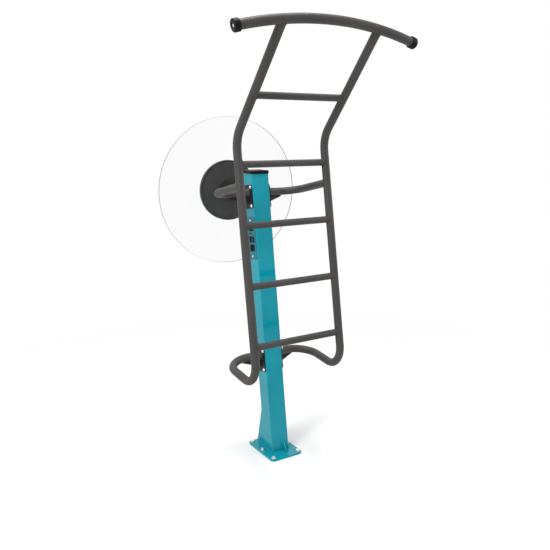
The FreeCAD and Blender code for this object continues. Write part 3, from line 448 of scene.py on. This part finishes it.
tree, shader = material("clear_plastic")
shader.inputs["Specular IOR Level"].default_value = SATIN
shader.inputs["IOR"].default_value = ACRYLIC_IOR
place = add(tree, "ShaderNodeTexCoord").outputs["Object"]
wheel = place_effect(tree, "wheel_rim", Rim_From=disc_radius - RIM_INSET)
rings = add(tree, "ShaderNodeCombineXYZ", X=wheel["Radius"]).outputs["Vector"]
wipes = noise(tree, WIPES_PER_METRE, 4.0, rings)
film = ramp(tree, noise(tree, FILM_PER_METRE, 3.0, place), *NOISE_SPAN, *FILM_ALPHA)
rim_film = math_node(tree, "MULTIPLY", wheel["Rim"], RIM_ALPHA)
plug(tree, shader, "Base Color", mix(tree, wheel["Rim"], FACE_TINT, RIM_TINT))
plug(tree, shader, "Alpha", math_node(tree, "ADD", film, rim_film))
plug(tree, shader, "Roughness", ramp(tree, wipes, *NOISE_SPAN, *WIPE_ROUGH))
print("clear disc radius:", round(disc_radius, 3))

# %% [markdown]
# ## Finishes on the solids
# Each solid's record names its slot, and the finish of that name goes into the solid's material slot. The
# axle and the hub's bolts get the blackened steel instead, which on the axle is also painted shade round the
# arm. The solids' own meshes stay as they are.

# %% Dress the solids
# These parts get the blackened steel. On the axle it is also painted shade round the arm on the hub.
BLACK_OXIDE_AND_SHADE_PARTS = ("axle", "hub_bolts")
slot_of = {item["node"]: item["material_slot"] for item in frame["record"]["subparts"]}
for name, solid in frame["nodes"].items():
    for holder in solid.material_slots:
        holder.material = finishes["black_oxide_and_shade" if name in BLACK_OXIDE_AND_SHADE_PARTS else slot_of[name]]
print("dressed:", len(slot_of))

# %% [markdown]
# ## Working by hand in code
# New pieces are modelled as by hand: a primitive at its size, shaped in edit mode, then carried to its
# place. These helpers select one piece, pick its parts by their place, and cut one piece with another.

# %% Helpers for modelling
PARTS = {"EDGE": "edges", "FACE": "polygons"}


def alone(piece):
    """Make one piece the only selected one."""
    bpy.ops.object.select_all(action="DESELECT")
    piece.select_set(True)
    bpy.context.view_layer.objects.active = piece
    return piece


def pick(piece, kind, wanted):
    """Go into edit mode with those parts selected that the test wants."""
    alone(piece)
    bpy.ops.object.mode_set(mode="EDIT")
    bpy.ops.mesh.select_mode(type=kind)
    bpy.ops.mesh.select_all(action="DESELECT")
    bpy.ops.object.mode_set(mode="OBJECT")
    for part in getattr(piece.data, PARTS[kind]):
        part.select = wanted(part)
    bpy.ops.object.mode_set(mode="EDIT")


def leave_edit():
    """Back to object mode."""
    bpy.ops.object.mode_set(mode="OBJECT")
    return bpy.context.object


def ends(piece, edge):
    """The two end points of an edge."""
    return [piece.data.vertices[index].co for index in edge.vertices]


def rise(piece, edge):
    """How far an edge goes up or down."""
    first, last = ends(piece, edge)
    return abs(first.z - last.z)


def carve(piece, other, operation):
    """Cut, join or intersect a piece with another, which is used up."""
    alone(piece)
    bpy.ops.object.modifier_add(type="BOOLEAN")
    modifier = piece.modifiers[-1]
    modifier.operation = operation
    modifier.object = other
    bpy.ops.object.modifier_apply(modifier=modifier.name)
    bpy.data.objects.remove(other)
    return piece


print("parts to pick:", sorted(PARTS))

# %% [markdown]
# ### Copies and seats
# A repeated piece is modelled once, copied with its own mesh, and joined. A finished piece is seated: its
# place goes into its mesh, it gets its finish and slot, and it rides on a body.

# %% Helpers for placing
SHARP_ANGLE = 35


def settle(piece):
    """Put a piece's place into its mesh."""
    alone(piece)
    bpy.ops.object.transform_apply(location=True, rotation=True, scale=True)
    return piece


def joined(pieces):
    """Several pieces as one object."""
    bpy.ops.object.select_all(action="DESELECT")
    for piece in pieces:
        piece.select_set(True)
    bpy.context.view_layer.objects.active = pieces[0]
    bpy.ops.object.join()
    return bpy.context.object


def set_at(master, places):
    """Copies of a piece at each place, as one object. The master is used up."""
    copies = []
    for place in places:
        alone(master)
        bpy.ops.object.duplicate()
        copy = bpy.context.object
        copy.matrix_world = place
        copies.append(settle(copy))
    bpy.data.objects.remove(master)
    return joined(copies)


def seat(piece, name, slot, body="frame", finish=None, angle=SHARP_ANGLE):
    """Name a finished piece, give it its finish, and let it ride."""
    settle(piece)
    bpy.ops.object.shade_smooth_by_angle(angle=math.radians(angle))
    piece.name = name
    piece.data.name = name
    piece.data.materials.clear()
    piece.data.materials.append(finishes[finish or slot])
    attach(piece, body)
    print("made", name, len(piece.data.polygons), "faces")
    return piece


def frame_of(origin, right, up, out):
    """A matrix that carries a piece's own X, Y and Z to three directions at a place."""
    turn = Matrix((right, up, out)).transposed().to_4x4()
    return Matrix.Translation(origin) @ turn


print("sharp from", SHARP_ANGLE, "degrees")

# %% [markdown]
# ## Directions of the station
# The post leans back by a few degrees, the ladder's rails lean by a little more, and above the knee they
# lean forward. The base plate, rungs and bracket plates are measured on the solids themselves.

# %% Directions and sizes
X, Y = Vector((1, 0, 0)), Vector((0, 1, 0))
POST_LEAN = math.radians(7.4)
LOWER_LEAN = math.radians(8.5)
UPPER_LEAN = math.radians(42.3)
RAIL_X = 0.251
RAIL_RADIUS = 0.021
RUNG_RADIUS = 0.0175
post_up = Vector((0, math.sin(POST_LEAN), math.cos(POST_LEAN)))
post_back = Vector((0, math.cos(POST_LEAN), -math.sin(POST_LEAN)))
lower_up = Vector((0, math.sin(LOWER_LEAN), math.cos(LOWER_LEAN)))
upper_up = Vector((0, -math.sin(UPPER_LEAN), math.cos(UPPER_LEAN)))


def middle_of(node):
    """The middle of a solid's box."""
    low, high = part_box(node)
    return (low + high) / 2


base_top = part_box("base_plate")[1].z
print("base top:", round(base_top, 4), "post up:", tuple(round(part, 3) for part in post_up))

# %% [markdown]
# ## Button-head bolts
# The bracket plates are held by stainless button heads with hexagon sockets. One head is turned from a
# cylinder, its upper edge rounded, and a six-sided plug is cut from it. Its shank comes from the lower
# face by inset and extrude. The same function makes the screws of the end caps and the instruction plate.

# %% Model a socket bolt
HEAD_SIDES = 32
ROUNDING_STEPS = 4
LEVEL = 1e-5
DOWNWARD = -0.9


def socket_bolt(radius, height, rounding, socket, depth, shank, length):
    """A bolt along Z, with the underside of its head at zero."""
    bpy.ops.mesh.primitive_cylinder_add(vertices=HEAD_SIDES, radius=radius, depth=height,
                                        location=(0, 0, height / 2))
    bolt = settle(bpy.context.object)
    pick(bolt, "EDGE", lambda edge: all(end.z > height - LEVEL for end in ends(bolt, edge)))
    bpy.ops.mesh.bevel(offset=rounding, segments=ROUNDING_STEPS)
    leave_edit()
    pick(bolt, "FACE", lambda face: face.normal.z < DOWNWARD)
    bpy.ops.mesh.inset(thickness=radius - shank)
    bpy.ops.mesh.extrude_region_move(TRANSFORM_OT_translate={"value": (0, 0, -length)})
    leave_edit()
    bpy.ops.mesh.primitive_cylinder_add(vertices=6, radius=socket, depth=2 * depth, location=(0, 0, height))
    return carve(bolt, settle(bpy.context.object), "DIFFERENCE")


print("head sides:", HEAD_SIDES)

# %% [markdown]
# Each plate has four bolts, at the corners of a rectangle round its middle. A bolt's head stands on its
# washer, outside the plate. The plates lie on the post's sides, and the wheel's plate on its back.

# %% Bracket bolts
PLATE_HALF = 0.003
WASHER = 0.0016
BRACKET_HOLES = (0.070, 0.099)
WHEEL_PLATE_HOLES = (0.046, 0.122)


def plate_corners(node, out, right, up, holes):
    """Frames at the four holes of a plate, on its outer face and a washer above it."""
    across, along = holes
    centre = middle_of(node) + out * (PLATE_HALF + WASHER)
    return [frame_of(centre + right * (share_x * across / 2) + up * (share_y * along / 2), right, up, out)
            for share_x in (-1, 1) for share_y in (-1, 1)]


bolt_places = []
for level in ("upper", "lower"):
    for label, side in (("left", -1), ("right", 1)):
        bolt_places += plate_corners(f"{level}_bracket_{label}", X * side, post_back * side, post_up,
                                     BRACKET_HOLES)
bolt_places += plate_corners("wheel_plate", post_back, -X, post_up, WHEEL_PLATE_HOLES)
bolt = socket_bolt(radius=0.0075, height=0.005, rounding=0.0025, socket=0.0029, depth=0.0028,
                   shank=0.004, length=0.020)
bolts = seat(set_at(bolt, bolt_places), "bracket_bolts", "bolt_steel")
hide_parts("plate_bolts")

# %% [markdown]
# The screw in each end cap of the bar is the same kind of bolt, deep in its recess. Its place is read
# from the solid screws: the outermost points on either side lie on its head.

# %% End cap screws
BAR_LEAN = math.radians(14.4)
BAR_END = math.radians(15.0)
SOLID_HEAD = 0.004
HEAD_FACE = 0.0003
bar_up = Vector((0, -math.sin(BAR_LEAN), math.cos(BAR_LEAN)))
bar_ahead = Vector((0, -math.cos(BAR_LEAN), -math.sin(BAR_LEAN)))
screw_points = [vertex.co for vertex in frame["nodes"]["bar_cap_screws"].data.vertices]
cap_places = []
for side in (-1, 1):
    out = X * (side * math.cos(BAR_END)) - bar_up * math.sin(BAR_END)
    furthest = max(point.dot(out) for point in screw_points)
    top = [point for point in screw_points if point.dot(out) > furthest - HEAD_FACE]
    centre = sum(top, Vector()) / len(top)
    cap_places.append(frame_of(centre - out * SOLID_HEAD, bar_ahead, out.cross(bar_ahead), out))
cap_screw = socket_bolt(radius=0.0078, height=0.0055, rounding=0.0024, socket=0.0029, depth=0.0028,
                        shank=0.003, length=0.012)
cap_screws = seat(set_at(cap_screw, cap_places), "end_cap_screws", "bolt_steel")
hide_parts("bar_cap_screws")

# %% [markdown]
# ## Low domed anchor nuts
# The base plate is held down by six low nuts with a domed top. A hexagon prism is cut by a ball, which
# gives a nut's round corner chamfer. The ball is turned by half a segment, so that none of its edges
# meets a corner of the prism. A shallow dome on top is the upper slice of a larger ball.

# %% Model an anchor nut
NUT_WIDTH = 0.019
CHAMFER_BALL = 0.0117
BALL_HEIGHT = 0.0025
BALL_SEGMENTS = 48
BALL_RINGS = 24
DOME_RINGS = 96
DOME_HALF = 0.0078
DOME_RISE = 0.0018
DOME_SINK = 0.0004
nut_corner = NUT_WIDTH / math.sqrt(3)
nuts_low, nuts_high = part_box("anchor_nuts")
nut_height = nuts_high.z - nuts_low.z
bpy.ops.mesh.primitive_cylinder_add(vertices=6, radius=nut_corner, depth=nut_height,
                                    location=(0, 0, nut_height / 2))
nut = settle(bpy.context.object)
bpy.ops.mesh.primitive_uv_sphere_add(segments=BALL_SEGMENTS, ring_count=BALL_RINGS, radius=CHAMFER_BALL,
                                     location=(0, 0, BALL_HEIGHT),
                                     rotation=(0, 0, math.pi / BALL_SEGMENTS))
nut = carve(nut, settle(bpy.context.object), "INTERSECT")
dome_radius = (DOME_HALF**2 + DOME_RISE**2) / (2 * DOME_RISE)
bpy.ops.mesh.primitive_uv_sphere_add(segments=BALL_SEGMENTS, ring_count=DOME_RINGS, radius=dome_radius,
                                     location=(0, 0, nut_height + DOME_RISE - dome_radius))
dome = settle(bpy.context.object)
bpy.ops.object.mode_set(mode="EDIT")
bpy.ops.mesh.select_all(action="SELECT")
bpy.ops.mesh.bisect(plane_co=(0, 0, nut_height - DOME_SINK), plane_no=(0, 0, 1), clear_inner=True,
                    use_fill=True)
leave_edit()
nut = joined([nut, dome])
half = nuts_high.x - nut_corner
reach = nuts_high.y - NUT_WIDTH / 2
nut_places = [Matrix.Translation((side * half, step * reach, nuts_low.z))
              for side in (-1, 1) for step in (-1, 0, 1)]
nuts = seat(set_at(nut, nut_places), "domed_nuts", "bolt_steel")
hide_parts("anchor_nuts")

# %% [markdown]
# ## Instruction plate
# A thin aluminium plate is held to the post's left face by a screw near each end. Its print is left blank
# here: a teal field with a grey border, and plain dark fields where pictures would be. The fields are
# rounded slabs, a fraction of a millimetre thick, so that they catch the light as a print does.

# %% Model a slab
CORNER_STEPS = 6


def slab(width, height, thickness, corner):
    """A flat slab on its own XY plane with rounded corners."""
    bpy.ops.mesh.primitive_cube_add(size=1, location=(0, 0, thickness / 2),
                                    scale=(width, height, thickness))
    piece = settle(bpy.context.object)
    pick(piece, "EDGE", lambda edge: rise(piece, edge) > thickness / 2)
    bpy.ops.mesh.bevel(offset=corner, segments=CORNER_STEPS)
    return leave_edit()


SIGN_HALF = 0.001
sign_frame = frame_of(middle_of("instruction_plate") - X * SIGN_HALF, -post_back, post_up, -X)
powder_coat("sign_teal", srgb(16, 112, 128), srgb(13, 105, 121), srgb(60, 150, 165),
            rough=0.35, peel=0.05, dimples=700.0, gloss=0.15)
powder_coat("sign_dark", srgb(6, 8, 9), srgb(4, 6, 7), srgb(40, 46, 50),
            rough=0.4, peel=0.05, dimples=700.0, gloss=0.04)
print("sign at", tuple(round(part, 3) for part in sign_frame.translation))

# %% [markdown]
# Each dark field has its middle, measured across and along the plate, and its width and height. A field's
# corner is never more than four tenths of its height, so that two corners don't meet.

# %% The plate's fields and screws
FIELD_WIDTH = 0.078
FIELD_HEIGHT = 0.222
FIELD_THICKNESS = 0.0003
FIELD_CORNER = 0.004
BLANK_THICKNESS = 0.0006
BLANK_CORNER = 0.003
CORNER_SHARE = 0.4
SIGN_SCREW_ALONG = 0.194
BLANKS = ((0.0, 0.055, 0.050, 0.034), (-0.012, 0.026, 0.026, 0.006), (-0.014, -0.006, 0.026, 0.034),
          (0.016, -0.006, 0.022, 0.034), (0.0, -0.052, 0.050, 0.036))
field = slab(FIELD_WIDTH, FIELD_HEIGHT, FIELD_THICKNESS, FIELD_CORNER)
field.matrix_world = sign_frame
seat(field, "sign_field", "sign_metal", finish="sign_teal")
blanks = []
for across, along, width, height in BLANKS:
    blank = slab(width, height, BLANK_THICKNESS, min(BLANK_CORNER, CORNER_SHARE * height))
    blank.matrix_world = sign_frame @ Matrix.Translation((across, along, 0))
    blanks.append(settle(blank))
seat(joined(blanks), "sign_blanks", "sign_metal", finish="sign_dark")
screw = socket_bolt(radius=0.006, height=0.0035, rounding=0.0016, socket=0.0023, depth=0.0018,
                    shank=0.003, length=0.006)
screw_places = [sign_frame @ Matrix.Translation((0, end * SIGN_SCREW_ALONG / 2, FIELD_THICKNESS))
                for end in (-1, 1)]
screws = seat(set_at(screw, screw_places), "sign_screws", "bolt_steel")
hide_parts("instruction_screws")

# %% [markdown]
# ## Weld beads
# Every rung, arm and rail is welded all round. A bead is a thin ring that follows the seam between two
# tubes, which is a saddle and not a circle, and no operator bends a ring into that. So a torus is added
# round the tube, and each of its points slides along the tube until its ring lies on the other surface:
# a plane, or a cylinder's quadratic. A small ripple in its thickness is the weave of the weld.

# %% Model a weld bead
BEAD = 0.0028
RING_STEPS = 64
BEAD_STEPS = 10
WEAVES = 40
WEAVE_SHARE = 0.12
WELD_ANGLE = 60


def on_plane(point, normal):
    """How far along a direction a plane lies from a start."""
    return lambda start, way: (point - start).dot(normal) / way.dot(normal)


def on_tube(point, axis, radius):
    """How far along a direction a tube's near surface lies from a start."""
    def distance(start, way):
        gap = (start - point) - axis * (start - point).dot(axis)
        flat = way - axis * way.dot(axis)
        half_b = gap.dot(flat)
        inside = max(half_b**2 - flat.length_squared * (gap.length_squared - radius**2), 0.0)
        return (-half_b - math.sqrt(inside)) / flat.length_squared
    return distance


def turned_to(way):
    """A turn that carries Z to a direction."""
    return way.to_track_quat("Z", "Y").to_matrix().to_4x4()


def weld_ring(start, way, radius, reach):
    """A bead round a tube that runs from start along way into another surface."""
    way = way.normalized()
    turn = turned_to(way)
    bpy.ops.mesh.primitive_torus_add(major_radius=radius, minor_radius=BEAD, major_segments=RING_STEPS,
                                     minor_segments=BEAD_STEPS)
    ring = bpy.context.object
    for vertex in ring.data.vertices:
        spoke = Vector((vertex.co.x, vertex.co.y, 0))
        core = spoke.normalized() * radius
        swell = 1 + WEAVE_SHARE * math.sin(WEAVES * math.atan2(spoke.y, spoke.x))
        shift = reach(start + turn.to_3x3() @ core, way)
        vertex.co = core + (vertex.co - core) * swell + Vector((0, 0, shift))
    ring.matrix_world = Matrix.Translation(start) @ turn
    return settle(ring)


beads = []
for number in range(1, 6):
    rail_way = upper_up if number == 1 else lower_up
    centre = middle_of(f"rung_{number}")
    for side in (-1, 1):
        rail = on_tube(centre + X * (side * RAIL_X), rail_way, RAIL_RADIUS)
        beads.append(weld_ring(Vector((0, centre.y, centre.z)), X * side, RUNG_RADIUS, rail))
seat(joined(beads), "rung_welds", "grey_paint", angle=WELD_ANGLE)

# %% [markdown]
# The rails meet the arched bar from below, and the upper arms meet the rails from behind. Near its seam
# the arched bar is as good as straight, along the tangent of its arc there. All four arms end flat on
# their bracket plates, and the wheel's arm stands between its own plate and the bearing housing.

# %% Welds of the bar, the arms and the brackets
KNEE = Vector((0, -0.1017, 1.699))
BAR_ABOVE_KNEE = 0.6765
BAR_ARC = 1.742
BAR_RADIUS = 0.0225
ARM_BELOW_KNEE = 0.231
ARM_ABOVE_BRACKET = 0.0235
ARM_SIDEWAYS = 0.195
ARM_SWEEP = 0.062
ARM_SLOPE = math.radians(11.7)
WHEEL_TUBE_RADIUS = 0.030
RUN_UP = 0.1
arm_way = Vector((0, -math.cos(ARM_SLOPE), math.sin(ARM_SLOPE)))
tilt = math.asin(RAIL_X / BAR_ARC)
beads = []
for label, side in (("left", -1), ("right", 1)):
    joint = KNEE + upper_up * BAR_ABOVE_KNEE + X * (side * RAIL_X)
    tangent = X * (side * math.cos(tilt)) - bar_up * math.sin(tilt)
    bar = on_tube(joint, tangent, BAR_RADIUS)
    beads.append(weld_ring(joint - upper_up * RUN_UP, upper_up, RAIL_RADIUS, bar))
    rail_point = KNEE - lower_up * ARM_BELOW_KNEE + X * (side * RAIL_X)
    rail = on_tube(rail_point, lower_up, RAIL_RADIUS)
    beads.append(weld_ring(rail_point - arm_way * RUN_UP, arm_way, RAIL_RADIUS, rail))
    for level, swept in (("upper", -arm_way), ("lower", post_back)):
        foot = middle_of(f"{level}_bracket_{label}") + X * (side * PLATE_HALF) + post_up * ARM_ABOVE_BRACKET
        corner = foot + X * (side * ARM_SIDEWAYS) + swept * ARM_SWEEP
        beads.append(weld_ring(corner, foot - corner, RAIL_RADIUS, on_plane(foot, X)))
plate_face = middle_of("wheel_plate") + post_back * PLATE_HALF
housing_face = Vector((0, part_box("bearing_housing")[0].y, 0))
tube_middle = middle_of("wheel_arm_tube")
beads.append(weld_ring(tube_middle, -Y, WHEEL_TUBE_RADIUS, on_plane(plate_face, post_back)))
beads.append(weld_ring(tube_middle, Y, WHEEL_TUBE_RADIUS, on_plane(housing_face, Y)))
seat(joined(beads), "tube_welds", "grey_paint", angle=WELD_ANGLE)

# %% [markdown]
# The post and its gussets stand on the base plate in straight seams. A straight bead is a thin cylinder
# cut into many short rings, which swell and shrink a little along it and taper towards its ends.

# %% Model a straight bead
RUN_SIDES = 12
RING_LENGTH = 0.0015
RIPPLE_LENGTH = 0.006
RIPPLE_SHARE = 0.1
END_SHARE = 0.4


def weld_run(start, end, bead):
    """A straight bead from one point to another."""
    length = (end - start).length
    bpy.ops.mesh.primitive_cylinder_add(vertices=RUN_SIDES, radius=bead, depth=length)
    run = bpy.context.object
    pick(run, "EDGE", lambda edge: rise(run, edge) > length / 2)
    bpy.ops.mesh.subdivide(number_cuts=round(length / RING_LENGTH))
    leave_edit()
    for vertex in run.data.vertices:
        taper = min(1.0, END_SHARE + (length / 2 - abs(vertex.co.z)) / (2 * bead))
        ripple = math.sin(vertex.co.z * 2 * math.pi / RIPPLE_LENGTH)
        swell = taper * (1 + RIPPLE_SHARE * ripple)
        vertex.co.x *= swell
        vertex.co.y *= swell
    run.matrix_world = Matrix.Translation((start + end) / 2) @ turned_to(end - start)
    return settle(run)


print("ripples per metre:", round(1 / RIPPLE_LENGTH))

# %% [markdown]
# Four runs go round the post. Each gusset has a run on either side along the plate and another up the
# post, from the corner where plate, post and gusset meet.

# %% Welds of the post's foot
POST_HALF = 0.05
POST_FOOT_BACK = 0.0157
SEAM_MARGIN = 0.004
GUSSET_BEAD = 0.8 * BEAD
half_depth = POST_HALF / math.cos(POST_LEAN)
seam = POST_HALF - SEAM_MARGIN
front, rear = -POST_FOOT_BACK - half_depth, -POST_FOOT_BACK + half_depth
runs = []
for edge in (front, rear):
    runs.append(weld_run(Vector((-seam, edge, base_top)), Vector((seam, edge, base_top)), BEAD))
for edge in (-POST_HALF, POST_HALF):
    runs.append(weld_run(Vector((edge, front + SEAM_MARGIN, base_top)),
                         Vector((edge, rear - SEAM_MARGIN, base_top)), BEAD))
for node in ("rear_gusset_left", "rear_gusset_right", "front_gusset"):
    low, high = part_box(node)
    foot, tip = (front, low.y) if node == "front_gusset" else (rear, high.y)
    for edge in (low.x, high.x):
        corner = Vector((edge, foot, base_top))
        runs.append(weld_run(corner, Vector((edge, tip, base_top)), GUSSET_BEAD))
        runs.append(weld_run(corner, corner + post_up * ((high.z - base_top) / post_up.z), GUSSET_BEAD))
seat(joined(runs), "foot_welds", "teal_paint", angle=WELD_ANGLE)

# %% [markdown]
# ## Floor
# The station stands on a plain pale floor that fades into a white surround, so only its soft shadow
# shows. The fade is there for what the camera, a reflection or a clear piece sees. For the light that
# bounces, the floor stays a plain floor.

# %% Floor
FLOOR_RADIUS = 14.0
FLOOR_SIDES = 96
FADE_SPAN = (0.9, 3.2)
GRIT_PER_METRE = 60.0
WHITE = (1, 1, 1, 1)


def seen_rays(tree):
    """One for the rays of the camera, of reflections and through clear pieces, and zero for others."""
    rays = add(tree, "ShaderNodeLightPath").outputs
    direct = math_node(tree, "ADD", rays["Is Camera Ray"], rays["Is Glossy Ray"])
    return math_node(tree, "ADD", direct, rays["Is Transmission Ray"], clamp=True)


bpy.ops.object.select_all(action="DESELECT")
bpy.ops.mesh.primitive_circle_add(vertices=FLOOR_SIDES, radius=FLOOR_RADIUS, fill_type="NGON")
floor = bpy.context.object
floor.name = "floor"
tree, shader = material("pale_floor")
tree.nodes.remove(shader)
place = add(tree, "ShaderNodeTexCoord").outputs["Object"]
length = add(tree, "ShaderNodeVectorMath", {"operation": "LENGTH"})
plug(tree, length, "0", place)
grit = ramp(tree, noise(tree, GRIT_PER_METRE, 3.0, place), *NOISE_SPAN)
pale = mix(tree, grit, srgb(238, 238, 237), srgb(236, 236, 235))
plain = add(tree, "ShaderNodeBsdfDiffuse", Color=pale)
white = add(tree, "ShaderNodeEmission", Color=WHITE, Strength=1.0)
distance = ramp(tree, length.outputs["Value"], *FADE_SPAN)
blend = add(tree, "ShaderNodeMixShader")
plug(tree, blend, "0", math_node(tree, "MULTIPLY", distance, seen_rays(tree)))
plug(tree, blend, "1", plain.outputs[0])
plug(tree, blend, "2", white.outputs[0])
plug(tree, tree.nodes["Material Output"], "Surface", blend.outputs[0])
floor.data.materials.append(finishes["pale_floor"])
floor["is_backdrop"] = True
print("floor radius:", FLOOR_RADIUS)

# %% [markdown]
# ## Sky and lamps
# An even sky keeps colours about as they are written, and shows as white where it is seen. One large lamp
# from the upper left gives the post's left face its lighter tone, a weaker one fills from the right, and
# a third hangs above.

# %% Sky and lamps
SKY_LIGHT = 0.46
SKY_SEEN = 1.0
scene = bpy.context.scene
scene.view_settings.view_transform = "Standard"
world = bpy.data.worlds.new("studio")
world.use_nodes = True
scene.world = world
sky = world.node_tree.nodes["Background"]
sky.inputs["Color"].default_value = WHITE
brightness = ramp(world.node_tree, seen_rays(world.node_tree), 0.0, 1.0, SKY_LIGHT, SKY_SEEN)
plug(world.node_tree, sky, "Strength", brightness)


def lamp(name, place, aim, size, power):
    """A large soft lamp that looks at a point."""
    bpy.ops.object.light_add(type="AREA", location=place)
    light = bpy.context.object
    light.name = name
    light.data.shape = "DISK"
    light.data.size = size
    light.data.energy = power
    light.rotation_euler = (Vector(aim) - Vector(place)).to_track_quat("-Z", "Y").to_euler()
    print("lamp", name, power, "W")


lamp("key_lamp", place=(-4.2, -1.8, 4.2), aim=(0, 0, 1.1), size=2.6, power=200)
lamp("fill_lamp", place=(4.6, -2.2, 2.8), aim=(0, 0, 1.1), size=3.0, power=70)
lamp("top_lamp", place=(0.1, 0.2, 5.2), aim=(0, 0, 1.0), size=3.0, power=180)

# %% [markdown]
# ## Camera
# The camera stands in front at the left, a little above eye level, and looks down at the station by a few
# degrees. Its picture is shifted, so that the station stands where the photo has it.

# %% Camera
CAMERA_PLACE = (-1.76884, -3.15726, 1.75781)
CAMERA_YAW = math.radians(-35.836)
CAMERA_DOWN = math.radians(9.654)
CAMERA_ROLL = math.radians(0.49)
bpy.ops.object.camera_add()
camera = bpy.context.object
turn = (Matrix.Rotation(CAMERA_YAW, 4, "Z") @ Matrix.Rotation(math.pi / 2 - CAMERA_DOWN, 4, "X")
        @ Matrix.Rotation(CAMERA_ROLL, 4, "Z"))
camera.matrix_world = Matrix.Translation(CAMERA_PLACE) @ turn
camera.data.sensor_width = 36.0
camera.data.lens = 45.34
camera.data.shift_x = -0.139
camera.data.shift_y = -0.055
scene.camera = camera
print("camera at", CAMERA_PLACE, "lens", round(camera.data.lens, 2))

# %% [markdown]
# ## Measure and finish
# The box of the dressed station is measured.

# %% Finish
low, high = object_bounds()
